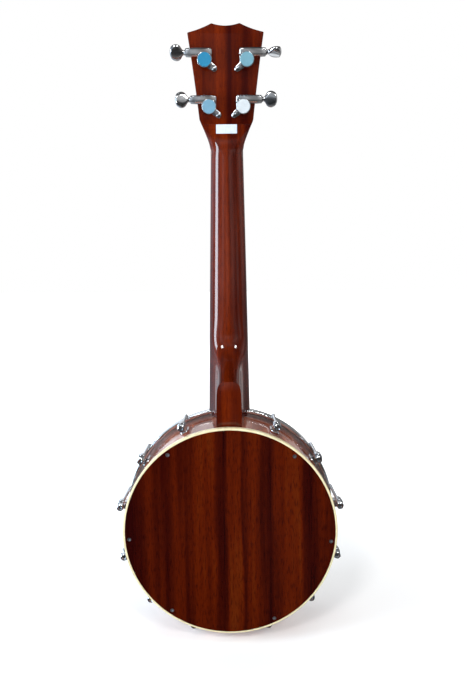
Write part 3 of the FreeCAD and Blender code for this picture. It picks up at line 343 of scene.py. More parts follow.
def carve(piece, cutters):
    """Cuts shells out of a piece, exactly."""
    tools = [link_object("cutter", make_mesh("cutter", cutter, weld=False)) for cutter in cutters]
    for tool in tools:
        cut = piece.modifiers.new("cut", "BOOLEAN")
        cut.object = tool
        cut.operation = "DIFFERENCE"
        cut.solver = "EXACT"
    apply_modifiers(piece)
    for tool in tools:
        bpy.data.objects.remove(tool)


def soften(piece, width, angle):
    """Rounds the carved edges a little and shades the rest smooth."""
    piece.data.shade_smooth()
    edge = piece.modifiers.new("edge", "BEVEL")
    edge.width = width * MM
    edge.segments = 3
    edge.limit_method = "ANGLE"
    edge.angle_limit = math.radians(angle)
    edge.use_clamp_overlap = True
    apply_modifiers(piece)
    piece.data.set_sharp_from_angle(angle=math.radians(48))


# ---- materials ----

class Nodes:
    """A short way to build a node tree."""

    def __init__(self, tree):
        self.tree = tree

    def node(self, kind, sockets=None, **values):
        made = self.tree.nodes.new(kind)
        for key, value in values.items():
            setattr(made, key, value)
        for key, value in (sockets or {}).items():
            made.inputs[key].default_value = value
        return made

    def link(self, source, target):
        self.tree.links.new(source, target)

    def put(self, value, socket):
        """Links an output to a socket, or sets the socket to a number or a colour."""
        if hasattr(value, "is_linked"):
            self.link(value, socket)
        else:
            socket.default_value = (*value, 1) if isinstance(value, tuple) else value

    def coordinates(self, scale=(1, 1, 1), location=(0, 0, 0)):
        source = self.node("ShaderNodeTexCoord")
        mapping = self.node("ShaderNodeMapping", {"Scale": scale, "Location": location})
        self.link(source.outputs["Object"], mapping.inputs["Vector"])
        return mapping.outputs["Vector"]

    def split(self, vector):
        node = self.node("ShaderNodeSeparateXYZ")
        self.link(vector, node.inputs["Vector"])
        return node.outputs

    def noise(self, vector, scale=1.0, detail=4.0, rough=0.5, distortion=0.0):
        noise = self.node("ShaderNodeTexNoise", {"Scale": scale, "Detail": detail,
                                                 "Roughness": rough, "Distortion": distortion})
        self.link(vector, noise.inputs["Vector"])
        return noise.outputs["Fac"]

    def ramp(self, value, stops, interpolation="LINEAR"):
        ramp = self.node("ShaderNodeValToRGB")
        ramp.color_ramp.interpolation = interpolation
        elements = ramp.color_ramp.elements
        while len(elements) < len(stops):
            elements.new(0.5)
        for element, (place, colour) in zip(elements, stops):
            element.position = place
            element.color = (*colour, 1)
        self.link(value, ramp.inputs["Fac"])
        return ramp.outputs["Color"]

    def mix(self, fac, a, b, blend="MIX"):
        mix = self.node("ShaderNodeMix", data_type="RGBA", blend_type=blend)
        for value, index in ((fac, 0), (a, 6), (b, 7)):
            self.put(value, mix.inputs[index])
        return mix.outputs[2]

    def math(self, operation, a, b=0.0, c=0.0):
        node = self.node("ShaderNodeMath", operation=operation)
        for value, socket in zip((a, b, c), node.inputs):
            self.put(value, socket)
        return node.outputs[0]

    def range(self, value, low, high, new_low, new_high):
        node = self.node("ShaderNodeMapRange", {"From Min": low, "From Max": high,
                                                "To Min": new_low, "To Max": new_high})
        self.link(value, node.inputs["Value"])
        return node.outputs["Result"]


class Surface(Nodes):
    """The node tree of a new material, built round its Principled shader."""

    def __init__(self, name):
        self.material = bpy.data.materials.new(name)
        self.material.use_nodes = True
        super().__init__(self.material.node_tree)
        self.inputs = self.tree.nodes["Principled BSDF"].inputs

    def set(self, **values):
        for name, value in values.items():
            self.inputs[name.replace("_", " ")].default_value = value

    def feed(self, name, source):
        self.link(source, self.inputs[name])

    def bump(self, height, strength=0.2, distance=0.0002):
        bump = self.node("ShaderNodeBump", {"Strength": strength, "Distance": distance})
        self.link(height, bump.inputs["Height"])
        self.feed("Normal", bump.outputs["Normal"])


def grey(value):
    return (value, value, value)


def wood(name, dark, light, stripe=55.0, flow=2.5, contrast=(0.36, 0.62), shift=0.0,
         coat_rough=0.04, rough=0.42, pores=0.5, bands=None, coat=1.0, flecks=0.35):
    """Lacquered wood whose grain runs along z: slow ribbons, fine streaks and dark pores."""
    n = Surface(name)
    wander = n.noise(n.coordinates((9, 9, 6), (shift, 0, 0)), 1.0, 2.0)
    ribbons_at = n.coordinates((stripe, stripe * 0.2, flow), (shift, shift, 0))
    ribbons = n.noise(ribbons_at, 1.0, 3.0, 0.45, 0.25)
    value = n.range(ribbons, contrast[0], contrast[1], 0.0, 1.0)
    if bands:
        sway = n.math("MULTIPLY", n.math("SUBTRACT", wander, 0.5), 0.014)
        low, high = bands[0][0], bands[-1][0]
        place = n.math("ADD", n.split(n.coordinates())["X"], sway)
        stops = [((x - low) / (high - low), grey(tone)) for x, tone in bands]
        across = n.range(place, low * MM, high * MM, 0.0, 1.0)
        band = n.ramp(across, stops, "B_SPLINE")
        value = n.mix(0.30, band, value)
    streaks = n.noise(n.coordinates((430, 45, 17), (shift, 0, 0)), 1.0, 5.0, 0.72)
    value = n.mix(0.30, value, streaks)
    cloud = n.noise(n.coordinates((34, 10, 12), (0, shift, 0)), 1.0, 4.0, 0.6)
    value = n.mix(0.16, value, cloud)
    middle = tuple(0.62 * a + 0.38 * b for a, b in zip(dark, light))
    glint = tuple(channel * share for channel, share in zip(light, (1.45, 2.6, 4.0)))
    colour = n.ramp(value, [(0.30, dark), (0.47, middle), (0.64, light), (0.82, glint)])
    fleck_field = n.noise(n.coordinates((640, 90, 120), (shift, 0, 0)), 1.0, 3.0, 0.6)
    fleck = n.ramp(fleck_field, [(0.50, grey(0.0)), (0.68, grey(1.0))])
    colour = n.mix(n.math("MULTIPLY", fleck, flecks), colour, dark)
    pore_field = n.noise(n.coordinates((2600, 2600, 130), (0, shift, 0)), 1.0, 2.0, 0.5)
    pore = n.ramp(pore_field, [(0.60, grey(0.0)), (0.70, grey(1.0))])
    depth = n.math("MULTIPLY", pore, pores)
    colour = n.mix(depth, colour, tuple(channel * 0.35 for channel in dark))
    n.feed("Base Color", colour)
    n.feed("Roughness", n.range(streaks, 0.3, 0.7, rough - 0.06, rough + 0.08))
    n.set(Specular_IOR_Level=0.0, Coat_Weight=coat, Coat_Roughness=coat_rough, Coat_IOR=1.5)
    waviness = n.noise(n.coordinates((30, 30, 9)), 1.0, 1.0)
    n.bump(n.mix(0.12, waviness, pore_field), 0.10, 0.00025)
    return n.material


def chrome(name, tint=(0.80, 0.82, 0.85), rough=0.09, scale=180.0, wear=0.05):
    """Plated metal with faint smears in its polish."""
    n = Surface(name)
    smear = n.noise(n.coordinates((scale, scale, scale)), 1.0, 4.0, 0.6)
    n.feed("Roughness", n.range(smear, 0.3, 0.7, rough, rough + wear))
    darker = tuple(channel * 0.90 for channel in tint)
    n.feed("Base Color", n.ramp(smear, [(0.35, tint), (0.75, darker)]))
    n.set(Metallic=1.0)
    n.bump(n.noise(n.coordinates((420, 420, 420)), 1.0, 2.0), 0.03, 0.0001)
    return n.material


def cap_metal(name, tint):
    """A turned cap: fine brushing that runs out from its middle, over a colour that is a painted
    reflection of the blue sky.
    """
    n = Surface(name)
    place = n.split(n.node("ShaderNodeTexCoord").outputs["Generated"])
    across = n.math("SUBTRACT", place["X"], 0.5)
    along = n.math("SUBTRACT", place["Z"], 0.5)
    angle = n.math("ARCTAN2", along, across)
    spokes = n.node("ShaderNodeTexNoise", noise_dimensions="1D")
    spokes.inputs["Scale"].default_value = 9.0
    spokes.inputs["Detail"].default_value = 3.0
    n.link(angle, spokes.inputs["W"])
    cloud = n.noise(n.coordinates((260, 260, 260)), 1.0, 3.0)
    value = n.mix(0.35, spokes.outputs["Fac"], cloud)
    darker = tuple(channel * 0.80 for channel in tint)
    n.feed("Base Color", n.ramp(value, [(0.34, darker), (0.62, tint)]))
    n.feed("Roughness", n.range(spokes.outputs["Fac"], 0.3, 0.7, 0.30, 0.40))
    n.set(Metallic=0.45)
    n.bump(spokes.outputs["Fac"], 0.05, 0.0001)
    return n.material


def plastic(name, colour, rough=0.25, grain=240.0, coat=0.4, bump=0.04, under=0.0):
    """Cast plastic, bone or film, with a slow change of tone."""
    n = Surface(name)
    cloud = n.noise(n.coordinates((grain, grain, grain * 0.5)), 1.0, 4.0)
    darker = tuple(channel * 0.88 for channel in colour)
    n.feed("Base Color", n.ramp(cloud, [(0.35, darker), (0.65, colour)]))
    n.feed("Roughness", n.range(cloud, 0.3, 0.7, rough, rough + 0.1))
    n.set(Coat_Weight=coat, Coat_Roughness=0.08, Subsurface_Weight=under,
          Subsurface_Radius=(0.002, 0.0015, 0.001))
    n.bump(cloud, bump, 0.0002)
    return n.material


def steel(name, colour, rough=0.3):
    n = Surface(name)
    lines = n.noise(n.coordinates((700, 90, 700)), 1.0, 3.0)
    darker = tuple(channel * 0.7 for channel in colour)
    n.feed("Base Color", n.ramp(lines, [(0.3, darker), (0.7, colour)]))
    n.feed("Roughness", n.range(lines, 0.3, 0.7, rough, rough + 0.12))
    n.set(Metallic=1.0)
    n.bump(lines, 0.06, 0.0001)
    return n.material


# Ribbons in the wood: distance across in mm, with +X on the left from behind, and tone. The rows
# run from one edge to the other.
BACK_BANDS = ((-102, 0.45), (-92, 0.62), (-84, 0.20), (-71, 0.10), (-66, 0.90), (-48, 0.95),
              (-41, 0.20), (-32, 0.15), (-28, 0.70), (-14, 0.72), (-11.8, 0.05), (-10, 0.85),
              (2, 0.90), (4.5, 0.15), (13, 0.20), (16, 0.80), (30, 0.78), (36, 0.45), (58, 0.50),
              (62, 0.22), (66, 0.50), (83, 0.42), (88, 0.10), (102, 0.05))

NECK_BANDS = ((-30, 0.30), (-20, 0.25), (-14, 0.45), (-9, 0.25), (-4, 0.50), (1, 0.62),
              (6, 0.45), (10, 0.60), (15, 0.40), (22, 0.25), (30, 0.35))
HEAD_BANDS = ((-42, 0.35), (-30, 0.15), (-24, 0.45), (-20, 0.20), (-12, 0.35), (-9, 0.10),
              (-3, 0.10), (1, 0.55), (8, 0.75), (16, 0.55), (24, 0.30), (32, 0.55), (42, 0.35))

DARK_RED = (0.0165, 0.0008, 0.0006)
WARM_RED = (0.074, 0.0068, 0.0005)
back_wood = wood("ribbon mahogany", DARK_RED, WARM_RED, stripe=110, flow=3.0, bands=BACK_BANDS,
                 coat_rough=0.06, coat=0.5, pores=0.75, flecks=0.75)
neck_wood = wood("neck mahogany", (0.028, 0.0016, 0.0009), (0.122, 0.0125, 0.0009), stripe=120,
                 flow=2.5, shift=1.7, coat_rough=0.02, bands=NECK_BANDS)
head_wood = wood("headstock mahogany", (0.028, 0.0016, 0.0008), (0.120, 0.0120, 0.0008), stripe=95,
                 flow=4.0, shift=3.1, coat_rough=0.05, contrast=(0.38, 0.60), coat=0.4,
                 bands=HEAD_BANDS)
rim_wood = wood("rim wood", (0.250, 0.062, 0.032), (0.440, 0.140, 0.078), stripe=60, flow=60,
                shift=0.6, coat_rough=0.04, pores=0.2)
board_wood = wood("rosewood", (0.045, 0.018, 0.011), (0.150, 0.072, 0.048), stripe=160, flow=5.0,
                  shift=5.0, coat=0.3, coat_rough=0.2, rough=0.5, pores=0.6)
veneer_wood = wood("dark veneer", (0.012, 0.006, 0.004), (0.045, 0.018, 0.012), stripe=150,
                   flow=5.0, shift=6.0, coat_rough=0.03)
bridge_wood = wood("maple", (0.42, 0.27, 0.14), (0.66, 0.48, 0.29), stripe=220, flow=220, shift=2.0,
                   coat=0.1, coat_rough=0.3, pores=0.15)
saddle_wood = wood("ebony", (0.010, 0.008, 0.007), (0.030, 0.024, 0.021), stripe=200, flow=20,
                   coat=0.2, coat_rough=0.2)
hoop_chrome = chrome("hoop chrome", (0.92, 0.94, 0.96), 0.16)
hook_chrome = chrome("hook chrome", (0.72, 0.74, 0.78), 0.07, 260.0)
tuner_chrome = chrome("tuner chrome", (0.82, 0.83, 0.85), 0.13, 300.0)
dark_chrome = chrome("screw chrome", (0.36, 0.37, 0.40), 0.34, 500.0)
cream = plastic("cream binding", (0.78, 0.68, 0.42), 0.22, 120.0, coat=0.5, under=0.1)
bone = plastic("bone", (0.86, 0.82, 0.70), 0.30)
film = plastic("coated drumhead", (0.84, 0.83, 0.78), 0.55, 900.0, coat=0.0, bump=0.25)
label_paper = plastic("label paper", (0.56, 0.62, 0.72), 0.45, 700.0, coat=0.1)
pearl = plastic("pearl", (0.80, 0.80, 0.76), 0.15, 600.0, coat=0.8)
nylon = plastic("nylon string", (0.80, 0.80, 0.76), 0.30, 900.0, coat=0.3)
plain_steel = steel("plain steel", (0.60, 0.60, 0.62))
brass = steel("brass", (0.76, 0.58, 0.26), 0.25)
fret_metal = chrome("fret metal", (0.74, 0.73, 0.70), 0.16, 400.0)
# painted reflections: each cap's colour stands for the blue sky that this cap reflects, so each cap gets
# its own
CAP_PAINTED_SKY_REFLECTIONS = {"right_upper": (0.03, 0.26, 0.46), "left_upper": (0.20, 0.42, 0.52),
             "right_lower": (0.22, 0.44, 0.60), "left_lower": (0.80, 0.86, 0.90)}


# ---- pot ----

def pot_ring(profile):
    """A turned piece of the pot, from (radius, depth) points."""
    return lathe(profile, 256).placed(on_front)


def make_pot():
    set_material("back_plate", back_wood)
    inner = BINDING - BINDING_WIDTH
    binding = rounded([(inner, 0, 0.15), (BINDING, 0, 0.8), (BINDING, BACK_THICK, 0),
                       (inner, BACK_THICK, 0)], 0.2)
    stand_in("back_binding", pot_ring(binding), cream, "cream_binding")
    inside = -LOW["rim"].x - RIM_WALL
    step = HEAD_FRONT - RIM_STEP
    front = HEAD_FRONT - 0.4
    seat = HEAD_RADIUS - 0.4
    rim = rounded([(inside, BACK_THICK, 0), (RIM, BACK_THICK, 0), (RIM, step, 0.8),
                   (seat, step + 1.5, 0.5), (seat, front - 1, 0.3), (seat - 1, front, 0.3),
                   (seat - 3.1, front, 0.5), (inside, front - 3.1, 0.5)], 0.3)
    stand_in("rim", pot_ring(rim), rim_wood, "maple_rim")
    smooth_copy("drumhead", film, "drumhead")
    set_material("flesh_hoop", plain_steel)
    smooth_copy("back_screws", dark_chrome, "screw_steel")
    for node in ("shoe_bolts", "hanger_bolts", "hanger_nuts", "tail_bolt", "tail_spacer"):
        smooth_copy(node, plain_steel, "steel_bolts")
    smooth_copy("coordinator_rod", plain_steel, "steel_rod")


def set_material(node, material):
    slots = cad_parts[node].data.materials
    slots.clear()
    slots.append(material)


def make_hoop():
    """The tension hoop, whose front edge drops into a notch at each hook."""
    inside = HOOP - HOOP_WALL
    lip = HEAD_RADIUS + 0.8
    profile = rounded([(inside, HOOP_BACK), (HOOP, HOOP_BACK), (HOOP, HOOP_FRONT, 0.9),
                       (inside, HOOP_FRONT, 0.9), (inside, FLESH_FRONT + 2.4, 0.4),
                       (lip, FLESH_FRONT + 2.4, 0.4), (lip, FLESH_FRONT, 0.2),
                       (inside, FLESH_FRONT, 0.2)], 0.5)
    floor = HOOP_FRONT - NOTCH_DEPTH
    half = math.degrees(math.asin(NOTCH_HALF / HOOP))
    stations = [(360 * k / 240 - 180, False) for k in range(240)]
    stations = [(angle, notched) for angle, notched in stations
                if all(abs((angle - hook + 180) % 360 - 180) > half + 0.05 for hook in hook_places())]
    for hook in hook_places():
        stations += [(hook - half, False), (hook - half, True), (hook + half, True),
                     (hook + half, False)]
    rings = []
    for angle, notched in sorted(stations, key=lambda station: station[0]):
        place = on_pot(angle)
        rings.append([place(Vector((0, r, min(d, floor) if notched else d))) for r, d in profile])
    stand_in("tension_hoop", loft(rings, wrap=True, caps=False), hoop_chrome, "chrome_hoop")


def superellipse(half_a, half_b, power, count=20):
    result = []
    for k in range(count):
        turn = 2 * math.pi * k / count
        a, b = math.cos(turn), math.sin(turn)
        reach = (abs(a) ** power + abs(b) ** power) ** (-1 / power)
        result.append((half_a * reach * a, half_b * reach * b))
    return result


def hook_shell():
    """A round shank with a threaded end, bent over and flattened into a claw."""
    claw_depth = HOOP_FRONT - 1.1
    bend = 1.7
    path = [(HOOK_AXIS, HOOK_END), (HOOK_AXIS, HOOK_END + 0.3)]
    path += [(HOOK_AXIS, HOOK_END + 0.3 + 0.35 * k) for k in range(1, 26)]
    path += [(HOOK_AXIS, 30.0), (HOOK_AXIS, 45.0), (HOOK_AXIS, 60.0)]
    centre = (HOOK_AXIS - bend, claw_depth - bend)
    for k in range(9):
        turn = math.pi / 2 * k / 8
        path.append((centre[0] + bend * math.cos(turn), centre[1] + bend * math.sin(turn)))
    path += [(centre[0] - 1.6, claw_depth), (centre[0] - 2.9, claw_depth),
             (centre[0] - 3.4, claw_depth)]
    rings = []
    count = len(path)
    for index, (radius, depth) in enumerate(path):
        before = path[max(0, index - 1)]
        after = path[min(count - 1, index + 1)]
        way = Vector((after[0] - before[0], after[1] - before[1])).normalized()
        normal = Vector((way.y, -way.x))
        flat = min(1, max(0, (index - 28) / 8))
        half_a = HOOK_RADIUS * (1 - flat) + 1.6 * flat
        half_b = HOOK_RADIUS * (1 - flat) + 1.1 * flat
        if index == 0:
            half_a, half_b = half_a * 0.75, half_b * 0.75
        elif 2 <= index <= 26:
            ridge = 0.0 if index % 2 else 0.16
            half_a, half_b = half_a - ridge, half_b - ridge
        elif index == count - 1:
            half_a, half_b = half_a * 0.7, half_b * 0.6
        section = superellipse(half_a, half_b, 2 + 2 * flat)
        rings.append([Vector((a, radius + normal.x * b, depth + normal.y * b)) for a, b in section])
    return loft(rings)


def hook_nut_shell():
    """A hexagonal nut, chamfered at its open end, on a round flange."""
    flats = 3.15
    start = 2.9
    low = NUT_LOW
    top = low + NUT_HEIGHT
    turns = [2 * math.pi * k / 48 for k in range(48)]
    sixth = math.pi / 3
    hexagon = [flats / math.cos((turn + sixth / 2) % sixth - sixth / 2) for turn in turns]

    def ring(radii, heights):
        return [Vector((radius * math.cos(turn), HOOK_AXIS + radius * math.sin(turn), height))
                for turn, radius, height in zip(turns, radii, heights)]

    def level(radius, height):
        return ring([radius] * 48, [height] * 48)

    rings = [level(radius, height) for radius, height in
             ((0.4, low + 1.0), (1.75, low + 1.0), (1.75, low + 0.25), (2.0, low), (start, low))]
    rings.append(ring(hexagon, [low + (radius - start) * 0.6 + 0.02 for radius in hexagon]))
    rings.append(ring(hexagon, [top] * 48))
    rings += [level(radius, top + rise) for radius, rise in
              ((3.4, 0), (3.7, 0.3), (3.7, 0.95), (3.5, FLANGE), (0.4, FLANGE))]
    return loft(rings)


def shoe_shell():
    """A cast bracket: a curved foot, a web, and a boss that the hook passes through."""
    foot = prism(rounded([(-4.5, SHOE_LOW), (4.5, SHOE_LOW), (4.5, SHOE_HIGH), (-4.5, SHOE_HIGH)],
                         2.8, 6), RIM - 0.1, RIM + 2.2, 0.7, 4)
    foot = foot.placed(lambda p: Vector((p.x, p.z, p.y)))
    boss_low = NUT_LOW + NUT_HEIGHT + FLANGE
    boss_high = boss_low + 8.0
    boss = lathe(rounded([(1.62, boss_low, 0.3), (4.2, boss_low, 0.6), (4.2, boss_high, 0.9),
                          (1.62, boss_high, 0.3)], 0.5), 40)
    boss = boss.placed(lambda p: Vector((p.x, p.y + HOOK_AXIS, p.z)))
    rings = []
    for depth, half, top in ((boss_low + 0.25, 3.3, HOOK_AXIS), (boss_low + 0.7, 3.7, HOOK_AXIS),
                             (boss_high - 0.9, 3.7, HOOK_AXIS), (boss_high + 0.2, 3.4, HOOK_AXIS - 1.8),
                             (boss_high + 1.6, 3.1, RIM + 3.6), (SHOE_HIGH - 3.2, 2.7, RIM + 2.4),
                             (SHOE_HIGH - 1.6, 2.3, RIM + 2.0)):
        outline = rounded([(-half, RIM), (half, RIM), (half * 0.9, top), (-half * 0.9, top)], 0.9, 4)
        rings.append([Vector((p.x, p.y, depth)) for p in outline])
    return foot.add(boss).add(loft(rings))


def repeat_on_hooks(shell):
    whole = Shell()
    for angle in hook_places():
        whole.add(shell.placed(on_pot(angle)))
    return whole


def make_hooks():
    for node, shell, slot in (("tension_hooks", hook_shell(), "chrome_hooks"),
                              ("hook_nuts", hook_nut_shell(), "chrome_nuts"),
                              ("bracket_shoes", shoe_shell(), "chrome_shoes")):
        stand_in(node, repeat_on_hooks(shell), hook_chrome, slot)


# ---- neck ----

HEEL_TIP = RIM + 42.4
HEEL_RISE = 42.0
HEEL_DEPTH = 105.6
HEEL_WAIST = 11.8
BEYOND = 60                # far enough to clear the neck on any side


def board_half(z):
    share = (z - BOARD_END) / (NUT_Z - BOARD_END)
    return (BOARD_WIDE * (1 - share) + BOARD_NARROW * share) / 2


def smooth_step(value, start, end):
    share = min(1, max(0, (value - start) / (end - start)))
    return share * share * (3 - 2 * share)


def curve_through(points, value):
    """A smooth curve through (place, number) points, read at one place."""
    for (x0, y0), (x1, y1) in zip(points, points[1:]):
        if value <= x1:
            break
    index = points.index((x0, y0))
    before = points[max(0, index - 1)]
    after = points[min(len(points) - 1, index + 2)]
    slope0 = (y1 - before[1]) / (x1 - before[0])
    slope1 = (after[1] - y0) / (after[0] - x0)
    span = x1 - x0
    t = min(1, max(0, (value - x0) / span))
    return (y0 * (2 * t ** 3 - 3 * t ** 2 + 1) + slope0 * span * (t ** 3 - 2 * t ** 2 + t)
            + y1 * (3 * t ** 2 - 2 * t ** 3) + slope1 * span * (t ** 3 - t ** 2))


def neck_shape(z):
    """Half-width, thickness, squareness and pinch of the neck's cross-section at this height."""
    share = min(1, max(0, (z - BOARD_END) / (NUT_Z - BOARD_END)))
    reach = max(0, (HEEL_TIP + HEEL_RISE - z) / HEEL_RISE)
    full = 15.5 - 1.5 * share + (BOARD_BACK - HEEL_CAP - 15.5) * reach ** 2.6
    thick = (full ** -8 + HEEL_DEPTH ** -8) ** (-1 / 8)
    squareness = 4 - 2 * smooth_step(z, HEEL_TIP - 10, HEEL_TIP + HEEL_RISE + 20)
    pinch = 1 - smooth_step(z, HEEL_TIP + 4, HEEL_TIP + HEEL_RISE + 6)
    half = board_half(z)
    start = NUT_Z - 9
    if z > start:
        half = curve_through([(start, board_half(start)), (NUT_Z, 16.0), (NUT_Z + 8, 19.5),
                              (NUT_Z + 16, 25.0), (NUT_Z + 24, 30.0), (NUT_Z + 32, 35.0)], z)
        thick = curve_through([(start - 12, 14.0), (start, 14.0), (NUT_Z, 15.0), (NUT_Z + 8, 18.0),
                               (NUT_Z + 16, 26.0), (NUT_Z + 24, 45.0), (NUT_Z + 32, 80.0)], z)
    return half, thick, squareness, pinch


def neck_ring(z, steps=36):
    half, thick, squareness, pinch = neck_shape(z)
    waist = HEEL_WAIST / board_half(HEEL_TIP)
    side = []
    for index in range(steps + 1):
        turn = math.pi / 2 * (index / steps) ** 1.35
        reach = (math.cos(turn) ** squareness + math.sin(turn) ** squareness) ** (-1 / squareness)
        down = thick * reach * math.sin(turn)
        narrow = 1 - pinch * (1 - waist) * (1 - math.exp(-((down / 15) ** 2)))
        side.append((half * narrow * reach * math.cos(turn), down))
    side[-1] = (0.0, side[-1][1])
    ring = [Vector((x, down - BOARD_BACK, z)) for x, down in side]
    ring += [Vector((-x, down - BOARD_BACK, z)) for x, down in reversed(side[:-1])]
    return ring


# half of the headstock's width at these distances up it
HEAD_EDGE = [(-6.0, 16.2), (1.2, 17.0), (8.5, 19.6), (22.9, 25.8)]


def head_outline():
    """The headstock's outline, as (across, along) points."""
    right = []
    for k in range(25):
        along = -6.0 + 28.9 * k / 24
        right.append((curve_through(HEAD_EDGE, along), along))
    for start, middle, end, steps in (((25.8, 22.9), (30.05, 59.5), (35.1, 96.2), 16),
                                      ((35.1, 96.2), (35.1, 97.2), (34.1, 97.85), 5),
                                      ((34.1, 97.85), (24.0, 100.6), (13.6, 104.75), 14),
                                      ((13.6, 104.75), (12.9, 104.95), (12.1, 104.8), 4),
                                      ((12.1, 104.8), (6.2, 103.5), (0.0, 103.0), 8)):
        right += arc_points(start, middle, end, steps)[1:]
    left = [(-x, along) for x, along in reversed(right[:-1])]
    return [Vector(point) for point in right + left]


def arc_points(a, b, c, steps):
    """Points of the arc from a through b to c."""
    a, b, c = Vector(a), Vector(b), Vector(c)
    d = 2 * (a.x * (b.y - c.y) + b.x * (c.y - a.y) + c.x * (a.y - b.y))
    ux = (a.length_squared * (b.y - c.y) + b.length_squared * (c.y - a.y)
          + c.length_squared * (a.y - b.y)) / d
    uy = (a.length_squared * (c.x - b.x) + b.length_squared * (a.x - c.x)
          + c.length_squared * (b.x - a.x)) / d
    centre = Vector((ux, uy))
    start, end = a - centre, c - centre
    first = math.atan2(start.y, start.x)
    sweep = (math.atan2(end.y, end.x) - first + math.pi) % (2 * math.pi) - math.pi
    return [tuple(centre + Vector((math.cos(first + sweep * k / steps),
                                   math.sin(first + sweep * k / steps))) * start.length)
            for k in range(steps + 1)]


def block(corners, push):
    """A flat shape, given by its corners, pushed along a vector."""
    count = len(corners)
    points = list(corners) + [corner + push for corner in corners]
    faces = [tuple(range(count)), tuple(reversed(range(count, 2 * count)))]
    faces += [(k, count + k, count + (k + 1) % count, (k + 1) % count) for k in range(count)]
    return Shell(points, faces)


def scoop_cutter():
    """The space behind the headstock's back and behind the scoop that ends the neck's shaft."""
    profile = [head_point(-BEYOND, 60, HEAD_WOOD)]
    centre = head_point(-BEYOND, SCOOP_AT, HEAD_WOOD + SCOOP_RADIUS)
    for k in range(25):
        turn = math.radians(30 * k / 24)
        profile.append(centre - OUT_OF_HEAD * SCOOP_RADIUS * math.cos(turn)
                       - ALONG_HEAD * SCOOP_RADIUS * math.sin(turn))
    profile.append(profile[-1] + OUT_OF_HEAD * 120)
    profile.append(head_point(-BEYOND, 60, HEAD_WOOD + 130))
    return block(profile, Vector((2 * BEYOND, 0, 0)))


def head_slab(low, high, thick):
    """A wide slab across the headstock, between two places up it, from well in front of it."""
    corners = ((-BEYOND, low), (BEYOND, low), (BEYOND, high), (-BEYOND, high))
    return block([head_point(x, along, -BEYOND) for x, along in corners], OUT_OF_HEAD * thick)


def disc_cutter(radius, low, high):
    ring = circle(radius, 360)
    return block([Vector((p.x, -low, p.y)) for p in ring], Vector((0, low - high, 0)))


def make_neck():
    stations = [RIM - 7 + 2.0 * k for k in range(6)]
    stations += [HEEL_TIP - 38 + 1.5 * k for k in range(60)]
    stations += [HEEL_TIP + 52 + 6.0 * k for k in range(100) if HEEL_TIP + 52 + 6 * k < NUT_Z - 12]
    stations += [NUT_Z - 11 + 1.0 * k for k in range(44)]
    shell = loft([neck_ring(z) for z in sorted(set(stations))])
    piece = stand_in("neck", shell, neck_wood, "mahogany_neck")
    front = head_slab(0, 90, BEYOND)
    above_scarf = head_slab(SCARF_AT, 120, 260)
    behind_heel = block([Vector((x, -HEEL_CAP, z)) for x, z in
                         ((-BEYOND, 60), (BEYOND, 60), (BEYOND, 230), (-BEYOND, 230))],
                        Vector((0, 200, 0)))
    right = sorted([p for p in head_outline() if 0 < p.x and p.y < 40], key=lambda p: p.y)
    beside = []
    for sign in (1, -1):
        edge = [Vector((70, -6))] + right + [Vector((70, 39))]
        beside.append(block([head_point(sign * p.x, p.y, -2) for p in edge], OUT_OF_HEAD * 40))
    carve(piece, [disc_cutter(RIM, -BEYOND, BOARD_BACK + 1),
                  disc_cutter(HOOP + 0.3, HOOP_BACK - 1, BOARD_BACK + 1),
                  behind_heel, front, above_scarf, scoop_cutter()] + beside)
    soften(piece, 0.45, 26)


def make_headstock():
    outline = head_outline()
    upper = [p for p in outline if p.y >= SCARF_AT + 0.3]
    first = curve_through(HEAD_EDGE, SCARF_AT)
    body = [Vector((first, SCARF_AT))] + upper + [Vector((-first, SCARF_AT))]
    shell = prism(body, 0.0, HEAD_WOOD, 0.5, 4)
    stand_in("headstock", shell.placed(on_head), head_wood, "mahogany_headstock", smooth=40)
    start = 0.8
    low = curve_through(HEAD_EDGE, start)
    face = [Vector((low, start))] + [p for p in outline if p.y > start + 0.2] + [Vector((-low, start))]
    stand_in("headstock_overlay", prism(face, -OVERLAY, 0.0, 0.25).placed(on_head), veneer_wood,
             "overlay")
    label = rounded([(-10, 10.2), (10, 10.2), (10, 18.4), (-10, 18.4)], 0.4)
    stand_in("headstock_label", prism(label, HEAD_WOOD, HEAD_WOOD + 0.15, 0.05).placed(on_head),
             label_paper, "label")


def fret_height(number):
    return NUT_Z - SCALE * (1 - 2 ** (-number / 12))


def make_fretboard():
    wide, narrow = BOARD_WIDE / 2, BOARD_NARROW / 2
    outline = rounded([(-wide, BOARD_END, 3.0), (wide, BOARD_END, 3.0), (narrow, NUT_Z, 0.1),
                       (-narrow, NUT_Z, 0.1)], 0.1, 8)
    board = prism(outline, BOARD_BACK, BOARD_FRONT, 0.5, 4)
    stand_in("fretboard", board.placed(on_front), board_wood, "rosewood")
    frets = Shell()
    for number in range(1, 20):
        z = fret_height(number)
        half = board_half(z) - 0.1
        rings = []
        for x, size in ((-half, 0.35), (-half + 0.25, 0.75), (-half + 0.7, 1.0), (half - 0.7, 1.0),
                        (half - 0.25, 0.75), (half, 0.35)):
            ring = []
            for k in range(9):
                turn = math.pi * k / 8
                ring.append(Vector((x, -(BOARD_FRONT + 1.05 * size * math.sin(turn)),
                                    z - math.cos(turn) * size)))
            ring.append(Vector((x, -(BOARD_FRONT - 0.3), z)))
            rings.append(ring)
        frets.add(loft(rings))
    stand_in("frets", frets, fret_metal, "fret_wire")
    inlays = Shell()
    for number, across in MARKERS:
        centre = (fret_height(number - 1) + fret_height(number)) / 2
        disc = prism(circle(MARKER_RADIUS, 40), BOARD_FRONT - 0.5, BOARD_FRONT + 0.04, 0.03, 2)
        inlays.add(disc.placed(lambda p: Vector((across + p.x, -p.z, centre + p.y))))
    stand_in("fret_markers", inlays, pearl, "pearl_dots")
    smooth_copy("nut", bone, "bone_nut", smooth=40)


# ---- tuners ----

